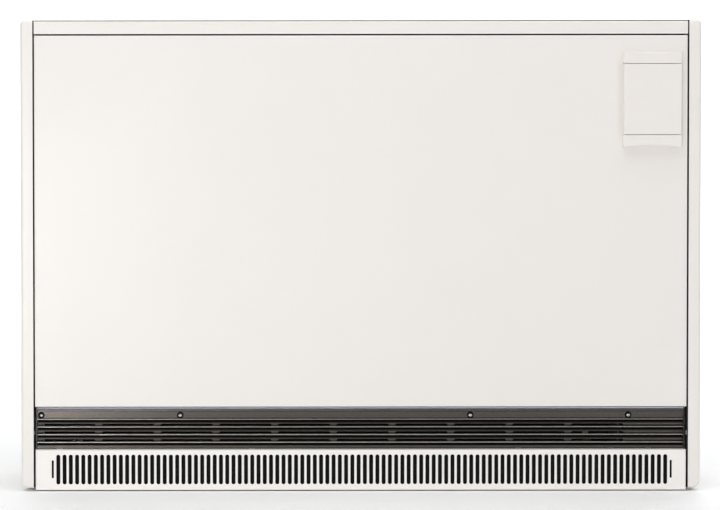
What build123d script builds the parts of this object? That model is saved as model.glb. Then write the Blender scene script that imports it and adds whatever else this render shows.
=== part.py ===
"""Fan-assisted storage heater: an insulated brick core in a sheet-steel cabinet, warmed by tubular
elements, with two cross-flow fans below it that push room air through the core and out of a low louvre.

All sizes are in millimetres. +X is to the right seen from the room, +Y is towards the wall and +Z is up.
The origin is on the floor, under the middle of the cabinet.
"""

from build123d import *
import math
import os

# Cabinet
WIDTH = 955.0
HEIGHT = 662.0
DEPTH = 250.0
SHEET = 1.0  # casing steel
GAP = 2.0  # shadow gap between casing panels
FRONT = -DEPTH / 2
BACK = DEPTH / 2
HALF = WIDTH / 2
COLUMN = 17.5  # front width of a side panel
COLUMN_FOOT = 4.5  # the side panels stop this far above the floor
COLUMN_BEND = 4.5
COLUMN_TOP_CORNER = 5.5
COLUMN_FOOT_CORNER = 10.0
COLUMN_RETURN = 20.0  # depth of the inner return behind a side panel's front flange
SPAN = HALF - COLUMN - GAP  # half the width of what lies between the side panels
COVER_FRONT = 20.0  # height of the top cover's front flange
COVER_BEND = 5.0
PANEL_TOP = HEIGHT - COVER_FRONT - GAP
PANEL_FOOT = 119.0
PANEL_FLANGE = 18.0
PANEL_BEND = 1.6
BASE_TOP = 9.0
BASE_FRONT = -101.0
BASE_FLANGE = 15.0
REAR_SCREW_X = 450.0
REAR_SCREW_Z = (60.0, 340.0, 634.0)
COVER_SCREW_X = 300.0
COVER_SCREW_Z = 652.0
SCREW_HOLE = 2.1
SCREW_SHANK = 1.9

# Feet and wall bracket
RAIL_X = 400.0
RAIL_WIDTH = 40.0
RAIL_WEB = 2.0
RAIL_Y = (-98.0, 120.0)
FLOOR_BOLT_Y = 80.0
FLOOR_BOLT_R = 4.5
BOLT_ACCESS_R = 8.0
BRACKET_HALF = 330.0
BRACKET_SHEET = 2.0
BRACKET_Z = (560.0, 600.0, 640.0)  # foot, step and top
BRACKET_REACH = 10.0  # from the cabinet's back to the wall
WALL_BOLT_X = 300.0
WALL_BOLT_Z = 622.0
WALL_BOLT_R = 4.0
RIVET_X = (-300.0, -100.0, 100.0, 300.0)
RIVET_Z = 580.0

# Louvre of the warm-air outlet
LOUVRE_HALF = 456.4
LOUVRE_SHEET = 1.4
STRIP_Y = -110.0  # face of the upper and lower strips
WEB_Y = -102.6  # face of the web behind the lips
LIP_Y = -113.0
LIP_THICK = 1.6
LIP_TOP_Z = 100.2
LIP_PITCH = 10.9
LIPS = 4
LOUVRE_TOP = 111.0
STRIP_FOOT = 102.0
BLADE_OUTLINE = [(-107.4, 0.7), (-108.4, 4.8), (-106.6, 6.4), (WEB_Y + 1, 6.4), (WEB_Y + 1, 5.2),
                 (-106.4, 5.2), (-107.0, 4.6), (-106.0, 0.7)]  # Y, and Z above the middle of a lip
LOUVRE_FOOT = 58.8
LOWER_STRIP = 4.1
SLOT_FIRST_X = -411.5
SLOT_PITCH = 83.0
SLOTS = 10
SLOT_LONG, SLOT_SHORT = 75.0, 71.0  # lower and upper edge of a slot
SLOT_ABOVE_LIP = (1.0, 4.0)
LOUVRE_SCREWS = (-451.0, -254.5, 155.6, 378.7)
LOUVRE_SCREW_Z = 105.9
LOUVRE_SCREW_HOLE = 2.3

# Grille of the room-air inlet, with its lint filter
INLET_HALF = 457.6
INLET_Z = (1.5, 58.2)
INLET_DEPTH = 14.0
INLET_BEND = 2.5
INLET_SLOTS = 98
INLET_PITCH = 8.8
INLET_SLOT = (5.2, 42.0)
INLET_SLOT_Z = 30.8
END_SLOT = (2.4, 25.4)
END_SLOT_X = 434.6
END_SLOT_Z = 31.2
CLIPS_X = (-425.0, -153.0, 223.0, 352.0, 406.0)
CLIP_WIDTH = 9.0
FILTER_HALF = 442.0
FILTER_Z = (4.5, 55.5)
FILTER_Y = (-122.5, -117.5)
FILTER_RIM = 4.0
FILTER_BARS = 7
FILTER_MESH = 0.6

# Brick core
BRICK = (174.0, 150.0, 72.6)
BRICK_PITCH = 175.0
STACKS = 4
LAYERS = 6
LAYER = 73.0
CORE_LEFT = -395.5
CORE_FRONT = -84.0
CORE_FOOT = 150.5
GROOVE_R = 5.2
AIRWAY = (20.0, 9.0)  # width and height of each air channel under a brick
AIRWAY_AT = (30.0, 124.0)
DECK_Z = (118.0, 120.0)
DECK_Y = (-60.0, 122.0)
RISER_Y = (67.0, 88.0)  # duct that leads air up behind the bricks
LEG = 14.0
LEG_X = (-444.0, -119.0, 297.0)
LEG_Y = ((-30.0, -16.0), (95.0, 109.0))
CORE_ROOM_RIGHT = 364.0
INSULATION_Y = (-122.5, -100.0, 87.5, 122.5)
INSULATION_X = (-456.0, -425.0, 307.0, 362.5)
INSULATION_Z = (120.5, 150.0, 589.0, 600.0, 637.0)

# Heating elements
ELEMENT_R = 4.25
ELEMENT_MID_Y = -9.0
ELEMENT_BEND = 22.0
ELEMENT_X = (-398.0, 383.0)
STUD_R = 2.0
STUD_END = 396.0
ELEMENTS = 3
ELEMENT_Y = (ELEMENT_MID_Y - ELEMENT_BEND, ELEMENT_MID_Y + ELEMENT_BEND)
ELEMENT_Z = [CORE_FOOT + LAYER * (2 * n + 1) - (LAYER - BRICK[2]) / 2 for n in range(ELEMENTS)]

# Air divider and mixing damper
DIVIDER_Z = (57.0, 58.0)
DIVIDER_Y = (-100.0, -33.0)
BYPASS_X = (-400.0, 300.0)
BYPASS_Y = (-88.0, -58.0)
DAMPER_Y = -54.0
DAMPER_Z = 62.6
DAMPER_SHAFT_R = 2.5
DAMPER_BORE_R = 2.56
DAMPER_SLEEVE_R = 4.0
DAMPER_TABS_X = (-408.0, 308.0)
DAMPER_TIP_Y = -90.0
COIL_X = (322.0, 330.0)
COIL_TURNS = 3
COIL_START_R = 4.0
COIL_STEP = 2.5
COIL_STRIP = 0.8

# Fans
FAN_Y = 30.0
FAN_Z = 46.0
ROTOR_R = 26.0
FAN_LEFT_X = (-430.0, -130.0)
FAN_RIGHT_X = (-40.0, 260.0)
ROTOR_END_GAP = 5.0
BLADES = 24
BLADE_R = (19.0, 25.6)
BLADE_SWEEP = 18.0
BLADE_THICK = 0.7
DISC = 1.5
HUB_R, HUB_LONG = 7.0, 7.0
SHAFT_R = 3.0
SHAFT_FIT = 0.03
BEARING_R = 7.9
BEARING_FLANGE_R = 11.0
BEARING_CLEARANCE = 0.06

# Motor
MOTOR_X = -85.0
STACK_THICK = 24.0
STACK_Y = (-20.0, 58.0)
STACK_Z = (20.0, 72.0)
STATOR_BORE_R = 16.2
MOTOR_ROTOR_R = 15.6
WINDOW_Y, WINDOW_Z = (-8.0, 6.0), (32.0, 60.0)
COIL_HALF = 20.0

# Switch compartment
PARTITION_X = 366.0
COMPARTMENT_FLANGE = 10.0
BUSH_R, BUSH_FLANGE_R, BUSH_BORE_R = 8.8, 12.0, 4.4
BUSH_HOLE_R = 9.0
SENSOR_Z = 595.0
SENSOR_R = 3.0
FAN_LEAD_HOLE = (60.0, 40.0, 6.0)  # Y, Z and radius
TERMINAL_X = (PARTITION_X + 1.1, 400.0)
TERMINAL_Y = (-60.0, 52.0)
TERMINAL_Z = (80.0, 110.0)
TERMINALS = 7
TERMINAL_PITCH = 15.0
BOARD_Y = (-80.0, 60.0)
BOARD_Z = (240.0, 345.0)
BOARD_X = 402.0
BOARD_THICK = 1.6
LIMITER_Y, LIMITER_Z = 40.0, 440.0
LIMITER_R, LIMITER_END = 15.0, 392.0
BUTTON_R = 3.0
GLAND_X, GLAND_Z = 420.0, 70.0
GLAND_BORE_R = 6.0
GLAND_THREAD_R = 9.9
WIRE_R = 1.5
WIRE_BEND = 7.0

# Control housing, its lid and dials
HOUSING_X = (366.6, 448.0)
HOUSING_Z = (483.0, 616.0)
HOUSING_PROUD = 10.0
SCOOP_DIP = 3.0
RIM_Y = (FRONT - 1.2, FRONT - 0.05)
LID_X = (366.9, 447.8)
LID_Z = (500.5, 599.1)
LID_GAP = 0.8
LID_WALL = 1.8
LID_BACK_Y = -126.6
HINGE_X, HINGE_Y = 370.4, -130.2
KNUCKLE_R = 3.2
PIN_R = 1.49
PIN_BORE_R = 1.5
PIN_HOLE_R = 1.56
PIN_LENGTH = 15.0
TUB_X = (372.2, 442.4)
TUB_Z = (504.0, 596.0)
TUB_WALL = 1.5
FASCIA_Y = (-117.5, -116.0)
DIAL_X = 407.3
DIALS = {"charge_dial": 574.0, "room_dial": 526.0}
DIAL_Y = (-130.0, -119.6, -118.0)  # face, top of the skirt and back
DIAL_R, DIAL_SKIRT_R, DIAL_STUB_R = 13.0, 15.0, 3.0
DIAL_FLUTES = 24


def block(x, y, z):
    """A box between pairs of coordinates, each pair low to high."""
    middle = [(low + high) / 2 for low, high in (x, y, z)]
    return Pos(*middle) * Box(x[1] - x[0], y[1] - y[0], z[1] - z[0])


def rod(radius, start, length, along):
    """A round bar that runs from a point in the positive direction of one axis."""
    turn = {"X": Rot(0, 90, 0), "Y": Rot(-90, 0, 0), "Z": Rot(0, 0, 0)}[along]
    return Pos(*start) * turn * Cylinder(radius, length, align=(Align.CENTER, Align.CENTER, Align.MIN))


def rect(across, up):
    """A rectangle between two pairs of coordinates in a sketch's own plane."""
    centre = ((across[0] + across[1]) / 2, (up[0] + up[1]) / 2)
    return Pos(*centre) * Rectangle(across[1] - across[0], up[1] - up[0])


def prism_x(sketch, x):
    """A sketch of Y and Z, made solid between two places along X."""
    return extrude(Plane.YZ.offset(x[0]) * sketch, x[1] - x[0])


def prism_y(sketch, y):
    """A sketch of X and Z, made solid between two places along Y."""
    return extrude(Plane.XZ.offset(-y[1]) * sketch, y[1] - y[0])


def shrunk(pair, by):
    """A pair of coordinates, drawn in at both ends."""
    return (pair[0] + by, pair[1] - by)


def row(count, pitch, middle=0.0):
    """Evenly spaced places about a middle."""
    return [middle + pitch * (n - (count - 1) / 2) for n in range(count)]


# Casing


def column_body(inset):
    """The side panel's outer form, or with an inset the hollow inside it. Right-hand side."""
    inner = HALF - COLUMN - (1.0 if inset else 0.0)
    outline = rect((inner, HALF - inset), (COLUMN_FOOT + inset, HEIGHT - inset))
    for place, radius in ((-1, COLUMN_TOP_CORNER), (0, COLUMN_FOOT_CORNER)):
        corner = outline.vertices().group_by(Axis.X)[-1].sort_by(Axis.Y)[place]
        outline = fillet(corner, radius - inset)
    body = prism_y(outline, (FRONT + inset, BACK - inset))
    front_edges = body.faces().sort_by(Axis.Y)[0].edges().sort_by(Axis.X)
    return fillet(front_edges[1:], COLUMN_BEND - inset)


def side_panel(side):
    """Pressed side panel, open towards the cabinet, with a folded return behind its front flange."""
    inner = HALF - COLUMN
    panel = column_body(0) - column_body(SHEET)
    panel += block((inner, inner + SHEET), (FRONT + SHEET / 2, FRONT + COLUMN_RETURN), (COLUMN_FOOT, HEIGHT))
    lug_slot = block((inner - SHEET, inner + 2 * SHEET), (-117, -112), (78.5, 84))
    panel -= lug_slot
    return panel if side > 0 else mirror(panel, about=Plane.YZ)


def top_cover():
    """Folded lid of the cabinet, with a deeper bend along its front edge."""

    def form(inset):
        body = block((-SPAN + inset, SPAN - inset), (FRONT + inset, BACK - inset),
                     (HEIGHT - COVER_FRONT, HEIGHT - inset))
        top = body.faces().sort_by(Axis.Z)[-1].edges().filter_by(Axis.X)
        return fillet(top, COVER_BEND - inset)

    cover = form(0) - form(SHEET)
    for x in (-COVER_SCREW_X, COVER_SCREW_X):
        cover -= rod(SCREW_HOLE, (x, BACK - 2, COVER_SCREW_Z), 4, "Y")
    return cover


def front_panel():
    """The large front panel, a shallow pan with a window for the control housing."""
    z = (PANEL_FOOT, PANEL_TOP)
    outer = block((-SPAN, SPAN), (FRONT, FRONT + PANEL_FLANGE), z)
    outer = fillet(outer.faces().sort_by(Axis.Y)[0].edges(), PANEL_BEND)
    inner = block(shrunk((-SPAN, SPAN), SHEET), (FRONT + SHEET, FRONT + PANEL_FLANGE), shrunk(z, SHEET))
    inner = fillet(inner.faces().sort_by(Axis.Y)[0].edges(), PANEL_BEND - SHEET)
    window = block(shrunk(TUB_X, -0.6), (FRONT - 1, FRONT + 2), shrunk(TUB_Z, -0.6))
    return outer - inner - window


def rear_panel():
    """Back sheet, with the cable entry and cooling slots for the switch compartment at its right."""
    flange = 12.0
    panel = block((-SPAN, SPAN), (BACK - SHEET, BACK), (10, HEIGHT - COVER_FRONT - 1))
    panel += block((-SPAN, SPAN), (BACK - flange, BACK), (HEIGHT - COVER_FRONT - 2, HEIGHT - COVER_FRONT - 1))
    for side in (-1, 1):
        for z in REAR_SCREW_Z:
            panel -= rod(SCREW_HOLE, (side * REAR_SCREW_X, BACK - 2, z), 4, "Y")
    for x in RIVET_X:
        panel -= rod(SCREW_HOLE, (x, BACK - 2, RIVET_Z), 4, "Y")
    slots = Sketch() + [Pos(412, z) * SlotOverall(54, 4) for z in row(7, 10, 520)]
    slots += Sketch() + [Pos(412, z) * SlotOverall(54, 4) for z in row(5, 10, 150)]
    panel -= prism_y(slots, (BACK - 2, BACK + 1))
    return panel - rod(GLAND_THREAD_R + 0.3, (GLAND_X, BACK - 2, GLAND_Z), 4, "Y")


def base_tray():
    """Floor of the cabinet, a pan with upturned edges and access holes over the floor bolts."""
    x, y, z = (-SPAN, SPAN), (BASE_FRONT, BACK - 1.2), (BASE_TOP - SHEET, BASE_TOP + BASE_FLANGE)
    tray = block(x, y, z) - block(shrunk(x, SHEET), shrunk(y, SHEET), (BASE_TOP, z[1]))
    for x_bolt in (-RAIL_X, RAIL_X):
        for y_bolt in (-FLOOR_BOLT_Y, FLOOR_BOLT_Y):
            tray -= rod(BOLT_ACCESS_R, (x_bolt, y_bolt, BASE_TOP - 2), 4, "Z")
    return tray


def foot_rails():
    """Two channel rails that carry the heater, with the floor bolt holes in their webs."""
    rails = []
    for middle in (-RAIL_X, RAIL_X):
        x = (middle - RAIL_WIDTH / 2, middle + RAIL_WIDTH / 2)
        rail = block(x, RAIL_Y, (0, BASE_TOP - SHEET)) - block(shrunk(x, RAIL_WEB), RAIL_Y, (RAIL_WEB, BASE_TOP))
        for y in (-FLOOR_BOLT_Y, FLOOR_BOLT_Y):
            rail -= rod(FLOOR_BOLT_R, (middle, y, -1), RAIL_WEB + 2, "Z")
        rails.append(rail)
    return rails


def wall_bracket():
    """Stepped steel strip, riveted to the back, that ties the heater to the wall."""
    x = (-BRACKET_HALF, BRACKET_HALF)
    low, step, top = BRACKET_Z
    wall = BACK + BRACKET_REACH
    bracket = block(x, (BACK + 0.1, BACK + BRACKET_SHEET), (low, step))
    bracket += block(x, (BACK + 0.1, wall), (step - BRACKET_SHEET, step))
    bracket += block(x, (wall - BRACKET_SHEET, wall), (step - BRACKET_SHEET, top))
    for bolt in (-WALL_BOLT_X, WALL_BOLT_X):
        bracket -= rod(WALL_BOLT_R, (bolt, wall - 5, WALL_BOLT_Z), 6, "Y")
    for rivet in RIVET_X:
        bracket -= rod(SCREW_HOLE, (rivet, BACK - 1, RIVET_Z), 5, "Y")
    return bracket


def pan_screw(x, z, seat, length):
    """A pan-head screw whose head stands on a face of the back."""
    head = rod(3.8, (x, seat, z), 2.2, "Y")
    head = fillet(head.faces().sort_by(Axis.Y)[-1].edges(), 1.2)
    cross = block((x - 2, x + 2), (seat + 1.3, seat + 3), (z - 0.5, z + 0.5))
    cross += block((x - 0.5, x + 0.5), (seat + 1.3, seat + 3), (z - 2, z + 2))
    return head + rod(SCREW_SHANK, (x, seat - length, z), length, "Y") - cross


def rear_screws():
    """Screws of the back panel and top cover, and the rivets of the wall bracket."""
    screws = [pan_screw(side * REAR_SCREW_X, z, BACK, 10) for side in (-1, 1) for z in REAR_SCREW_Z]
    screws += [pan_screw(x, COVER_SCREW_Z, BACK, 10) for x in (-COVER_SCREW_X, COVER_SCREW_X)]
    for x in RIVET_X:
        rivet = rod(3.4, (x, BACK + BRACKET_SHEET, RIVET_Z), 1.6, "Y")
        screws.append(rivet + rod(SCREW_SHANK, (x, BACK - 2, RIVET_Z), 4, "Y"))
    return screws


# Warm-air outlet


def outlet_frame():
    """Galvanised frame behind the louvre: hemmed upper rail with an upstand, lower rail and two cheeks."""
    x = (-SPAN + 0.2, SPAN - 0.2)
    profile = rect((-112.5, -110.3), (112.6, 115.0))
    profile += rect((-111.3, -110.3), (115.0, 118.4))
    profile += rect((-110.3, -101.0), (113.4, 114.6))
    profile += rect((-108.4, -107.4), (102.8, 113.4))
    lower = rect((-108.4, -107.4), (57.0, 61.2)) + rect((-108.4, -101.0), (57.0, 58.0))
    frame = prism_x(profile, x) + prism_x(lower, x)
    for side in (-1, 1):
        cheek = sorted((side * (SPAN - 1.2), side * (SPAN - 0.2)))
        frame += block(cheek, (-112.5, -101.0), (58.7, 115.0))
    for screw in LOUVRE_SCREWS:
        frame -= rod(LOUVRE_SCREW_HOLE, (screw, -109, LOUVRE_SCREW_Z), 2, "Y")
    return frame


def outlet_louvre():
    """Bronze louvre: four rounded lips, a slotted blade above each of the lower three, and two plain strips."""
    web = (WEB_Y, WEB_Y + LOUVRE_SHEET)
    strip = (STRIP_Y, STRIP_Y + LOUVRE_SHEET)
    lower = LOUVRE_FOOT + LOWER_STRIP
    lip_z = [LIP_TOP_Z - LIP_PITCH * n for n in range(LIPS)]
    profile = rect(web, (lower - LOUVRE_SHEET, lip_z[-1]))
    profile += rect(strip, (STRIP_FOOT, LOUVRE_TOP)) + rect((STRIP_Y + 0.7, strip[1]), (LOUVRE_TOP, LOUVRE_TOP + 1.3))
    profile += rect((STRIP_Y, STRIP_Y + 3.4), (STRIP_FOOT, STRIP_FOOT + 0.75))
    profile += rect((STRIP_Y + 2, STRIP_Y + 3.4), (LIP_TOP_Z, STRIP_FOOT + 0.75))
    profile += rect((STRIP_Y, web[1]), (lower - LOUVRE_SHEET, lower))
    profile += rect(strip, (LOUVRE_FOOT, lower))
    for z in lip_z[1:]:
        blade = [(y, z + up) for y, up in BLADE_OUTLINE]
        profile += make_face(Polyline(*blade, close=True)) + rect(web, (z + 5.2, z + LIP_PITCH))
    for z in lip_z:
        nose = LIP_Y + LIP_THICK / 2
        profile += rect((nose, web[1]), (z - LIP_THICK / 2, z + LIP_THICK / 2))
        profile += Pos(nose, z) * Circle(LIP_THICK / 2)
    louvre = prism_x(profile, (-LOUVRE_HALF, LOUVRE_HALF))
    slots = []
    for lip in lip_z[1:]:
        low, high = lip + SLOT_ABOVE_LIP[0], lip + SLOT_ABOVE_LIP[1]
        for n in range(SLOTS):
            x = SLOT_FIRST_X + SLOT_PITCH * n
            corners = [(x - SLOT_LONG / 2, low), (x + SLOT_LONG / 2, low),
                       (x + SLOT_SHORT / 2, high), (x - SLOT_SHORT / 2, high)]
            slots.append(prism_y(make_face(Polyline(*corners, close=True)), (-109.0, -105.0)))
    louvre -= slots
    return louvre - [rod(LOUVRE_SCREW_HOLE, (x, STRIP_Y - 1, LOUVRE_SCREW_Z), 4, "Y") for x in LOUVRE_SCREWS]


def louvre_screws():
    """Raised-head screws that hold the louvre to its frame."""
    screws = []
    for x in LOUVRE_SCREWS:
        head = rod(3.7, (x, STRIP_Y - 2.6, LOUVRE_SCREW_Z), 2.1, "Y")
        head = fillet(head.faces().sort_by(Axis.Y)[0].edges(), 1.4)
        cross = block((x - 2.1, x + 2.1), (STRIP_Y - 3, STRIP_Y - 1.4), shrunk((LOUVRE_SCREW_Z,) * 2, -0.5))
        cross += block((x - 0.5, x + 0.5), (STRIP_Y - 3, STRIP_Y - 1.4), shrunk((LOUVRE_SCREW_Z,) * 2, -2.1))
        screws.append(head - cross + rod(2.0, (x, STRIP_Y - 0.6, LOUVRE_SCREW_Z), 9, "Y"))
    return screws


def louvre_washers():
    """Black washers under the louvre screws."""
    return [rod(4.8, (x, STRIP_Y - 0.5, LOUVRE_SCREW_Z), 0.5, "Y")
            - rod(2.2, (x, STRIP_Y - 1, LOUVRE_SCREW_Z), 2, "Y") for x in LOUVRE_SCREWS]


# Room-air inlet


def inlet_grille():
    """Slotted pan across the foot of the cabinet. It pulls off forwards with the lint filter."""
    x = (-INLET_HALF, INLET_HALF)
    outer = block(x, (FRONT, FRONT + INLET_DEPTH), INLET_Z)
    outer = fillet(outer.faces().sort_by(Axis.Y)[0].edges(), INLET_BEND)
    inner = block(shrunk(x, SHEET), (FRONT + SHEET, FRONT + INLET_DEPTH), shrunk(INLET_Z, SHEET))
    inner = fillet(inner.faces().sort_by(Axis.Y)[0].edges(), INLET_BEND - SHEET)
    slot = SlotOverall(INLET_SLOT[1], INLET_SLOT[0], rotation=90)
    slots = [Pos(place, INLET_SLOT_Z) * slot for place in row(INLET_SLOTS, INLET_PITCH)]
    end_slot = SlotOverall(END_SLOT[1], END_SLOT[0], rotation=90)
    slots += [Pos(place, END_SLOT_Z) * end_slot for place in (-END_SLOT_X, END_SLOT_X)]
    return outer - inner - [prism_y(one, (FRONT - 1, FRONT + 2)) for one in slots]


def inlet_clips():
    """Spring clips on the grille's upper flange that snap under the outlet frame."""
    clips = []
    top = INLET_Z[1]
    back = FRONT + INLET_DEPTH
    for x in CLIPS_X:
        outline = Polyline((-121.0, top + 0.05), (-114.0, top + 0.05), (-112.0, top + 0.45),
                           (back + 0.3, top + 0.05), (back + 0.3, top - 8.0))
        strip = trace(outline, 0.4)
        clip = prism_x(strip, (x - CLIP_WIDTH / 2, x + CLIP_WIDTH / 2))
        clips.append(Pos(0, 0, 0.25) * clip)
    return clips


def filter_frame():
    """Plastic frame of the lint filter, clipped behind the grille."""
    x, z = (-FILTER_HALF, FILTER_HALF), FILTER_Z
    frame = block(x, FILTER_Y, z) - block(shrunk(x, FILTER_RIM), FILTER_Y, shrunk(z, FILTER_RIM))
    for bar in row(FILTER_BARS, 2 * FILTER_HALF / (FILTER_BARS + 1)):
        frame += block((bar - 1.5, bar + 1.5), FILTER_Y, shrunk(z, FILTER_RIM / 2))
    middle = sum(FILTER_Y) / 2
    groove = block(shrunk(x, 2), (middle - 0.35, middle + 0.35), shrunk(z, 2))
    return frame - groove


def filter_mesh():
    """Lint mesh, held in the groove of its frame."""
    middle = sum(FILTER_Y) / 2
    return block(shrunk((-FILTER_HALF, FILTER_HALF), 2.1), (middle - FILTER_MESH / 2, middle + FILTER_MESH / 2),
                 shrunk(FILTER_Z, 2.1))


def air_divider():
    """Galvanised sheet between the inlet room and the outlet chamber, with the damper's bearing tabs."""
    x = (INSULATION_X[0], CORE_ROOM_RIGHT)
    sheet = block(x, (DIVIDER_Y[0], DIVIDER_Y[1] + SHEET), DIVIDER_Z)
    sheet += block(x, (DIVIDER_Y[1], DIVIDER_Y[1] + SHEET), (DIVIDER_Z[0], DECK_Z[0] - 0.5))
    sheet -= block(BYPASS_X, BYPASS_Y, (50, 60))
    sheet -= block((COIL_X[0] - 6, COIL_X[1] + 6), (DAMPER_Y - 16, DAMPER_Y + 16), (50, 60))
    for tab in DAMPER_TABS_X:
        sheet += block((tab, tab + 2), (DAMPER_Y - 6, DAMPER_Y + 6), (DIVIDER_Z[0], DAMPER_Z + 6))
        sheet -= rod(DAMPER_BORE_R, (tab - 1, DAMPER_Y, DAMPER_Z), 4, "X")
    return sheet


def damper_flap():
    """Flap over the bypass opening, with a sleeve that grips the damper shaft."""
    x = shrunk(BYPASS_X, 2)
    sleeve = Circle(DAMPER_SLEEVE_R) - Circle(DAMPER_SHAFT_R + SHAFT_FIT)
    profile = Pos(DAMPER_Y, DAMPER_Z) * sleeve
    low = DAMPER_Z - DAMPER_SLEEVE_R + 0.2
    profile += rect((DAMPER_TIP_Y, DAMPER_Y - DAMPER_SLEEVE_R + 1.2), (low, low + SHEET))
    profile += rect((DAMPER_Y - DAMPER_SLEEVE_R, DAMPER_Y - DAMPER_SLEEVE_R + 1.2), (low, DAMPER_Z))
    return prism_x(profile, x)


def damper_shaft():
    """Steel shaft that the flap turns on."""
    start = DAMPER_TABS_X[0] - 4
    return rod(DAMPER_SHAFT_R, (start, DAMPER_Y, DAMPER_Z), COIL_X[1] + 6 - start, "X")


def bimetal_coil():
    """Bimetal spiral that opens the damper as the outlet air warms. Its outer end is fixed to the divider."""
    path, radius, side, centre = None, COIL_START_R, 1, DAMPER_Y
    for _ in range(2 * COIL_TURNS):
        start = (centre - side * radius, DAMPER_Z)
        top = (centre, DAMPER_Z + side * radius)
        end = (centre + side * radius, DAMPER_Z)
        arc = ThreePointArc(start, top, end)
        path = arc if path is None else path + arc
        radius += COIL_STEP / 2
        centre -= side * COIL_STEP / 2
        side = -side
    last = (centre - side * radius, DAMPER_Z)
    tail = Line(last, (last[0], DAMPER_Z + 18))
    hook = Line((last[0], DAMPER_Z + 18), (DIVIDER_Y[1] - 0.3, DAMPER_Z + 18))
    strip = trace(path, COIL_STRIP) + trace(tail, COIL_STRIP) + trace(hook, COIL_STRIP)
    return prism_x(strip, COIL_X)


# Fans and their motor


def fan_scroll(x):
    """Bent scroll and tongue that turn the fan's stream upwards, between two end plates."""
    back_wall = Spline((0, 24), (30, 14.5), (66, 26), (87, 70), tangents=((1, -0.6), (0, 1)))
    riser = rect((86.5, 87.5), (70, DECK_Z[0] - 0.5))
    tongue = Polyline((56, 66), (62, 76), (68, DECK_Z[0] - 0.5))
    walls = trace(back_wall, SHEET) + riser + trace(tongue, SHEET)
    scroll = prism_x(walls, x)
    outline = Polyline((-2, 13), (66, 13), (88, 40), (88, DECK_Z[0] - 0.5), (66, DECK_Z[0] - 0.5),
                       (56, 84), (-2, 84), close=True)
    plate = make_face(outline) - Pos(FAN_Y, FAN_Z) * Circle(BEARING_R + 0.1)
    scroll += prism_x(plate, (x[0], x[0] + SHEET))
    return scroll + prism_x(plate, (x[1] - SHEET, x[1]))


def impeller(x):
    """Cross-flow rotor: swept blades between discs, with a hub at each end."""
    start, end = shrunk(x, ROTOR_END_GAP)
    blade_arc = ThreePointArc((BLADE_R[0], 0), (22.8 * math.cos(math.radians(5)), 22.8 * math.sin(math.radians(5))),
                              (BLADE_R[1] * math.cos(math.radians(BLADE_SWEEP)),
                               BLADE_R[1] * math.sin(math.radians(BLADE_SWEEP))))
    blade = trace(blade_arc, BLADE_THICK)
    centre = Pos(FAN_Y, FAN_Z)
    blades = [centre * Rot(0, 0, 360 / BLADES * n) * blade for n in range(BLADES)]
    rotor = [prism_x(one, (start, end)) for one in blades]
    bore = Circle(SHAFT_R + SHAFT_FIT)
    disc = centre * (Circle(ROTOR_R) - bore)
    hub = centre * (Circle(HUB_R) - bore)
    ring = centre * (Circle(ROTOR_R) - Circle(BLADE_R[0] - 0.8))
    solid = prism_x(disc, (start, start + DISC)) + prism_x(disc, (end - DISC, end))
    solid += prism_x(hub, (start, start + HUB_LONG)) + prism_x(hub, (end - HUB_LONG, end))
    for share in (1 / 3, 2 / 3):
        middle = start + (end - start) * share
        solid += prism_x(ring, (middle - DISC / 2, middle + DISC / 2))
    return solid + rotor


def fan_shafts():
    """Motor shaft that drives both rotors, and a stub at each rotor's outer end."""
    motor = rod(SHAFT_R, (FAN_LEFT_X[1] - 12, FAN_Y, FAN_Z), FAN_RIGHT_X[0] - FAN_LEFT_X[1] + 24, "X")
    left = rod(SHAFT_R, (FAN_LEFT_X[0] - 12, FAN_Y, FAN_Z), 24, "X")
    right = rod(SHAFT_R, (FAN_RIGHT_X[1] - 12, FAN_Y, FAN_Z), 24, "X")
    return [motor, left, right]


def fan_bearings():
    """Rubber-mounted plain bearings at the outer end of each fan."""
    bearings = []
    for plate, flange_out in ((FAN_LEFT_X[0], -1), (FAN_RIGHT_X[1], 1)):
        spigot = sorted((plate - flange_out * 3.5, plate + flange_out * 7))
        flange = sorted((plate + flange_out * 0.1, plate + flange_out * 7))
        centre = Pos(FAN_Y, FAN_Z)
        bore = Circle(SHAFT_R + BEARING_CLEARANCE)
        bearing = prism_x(centre * (Circle(BEARING_R) - bore), spigot)
        bearings.append(bearing + prism_x(centre * (Circle(BEARING_FLANGE_R) - bore), flange))
    return bearings


def motor_stator():
    """Laminated stack of the shaded-pole motor."""
    outline = rect(STACK_Y, STACK_Z) - rect(WINDOW_Y, WINDOW_Z) - Pos(FAN_Y, FAN_Z) * Circle(STATOR_BORE_R)
    return prism_x(outline, (MOTOR_X - STACK_THICK / 2, MOTOR_X + STACK_THICK / 2))


def motor_coil():
    """Winding round the stack's outer leg."""
    leg_y = (STACK_Y[0], WINDOW_Y[0])
    x = (MOTOR_X - COIL_HALF, MOTOR_X + COIL_HALF)
    coil = block(x, (leg_y[0] - 7, leg_y[1] + 7), shrunk(WINDOW_Z, 1))
    coil = fillet(coil.edges().filter_by(Axis.Z), 4)
    hole = block((MOTOR_X - STACK_THICK / 2 - 0.3, MOTOR_X + STACK_THICK / 2 + 0.3), shrunk(leg_y, -0.3), WINDOW_Z)
    return coil - hole


def motor_rotor():
    """Squirrel-cage rotor on the motor shaft."""
    start = (MOTOR_X - STACK_THICK / 2, FAN_Y, FAN_Z)
    return rod(MOTOR_ROTOR_R, start, STACK_THICK, "X") - rod(SHAFT_R + SHAFT_FIT, start, STACK_THICK, "X")


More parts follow.
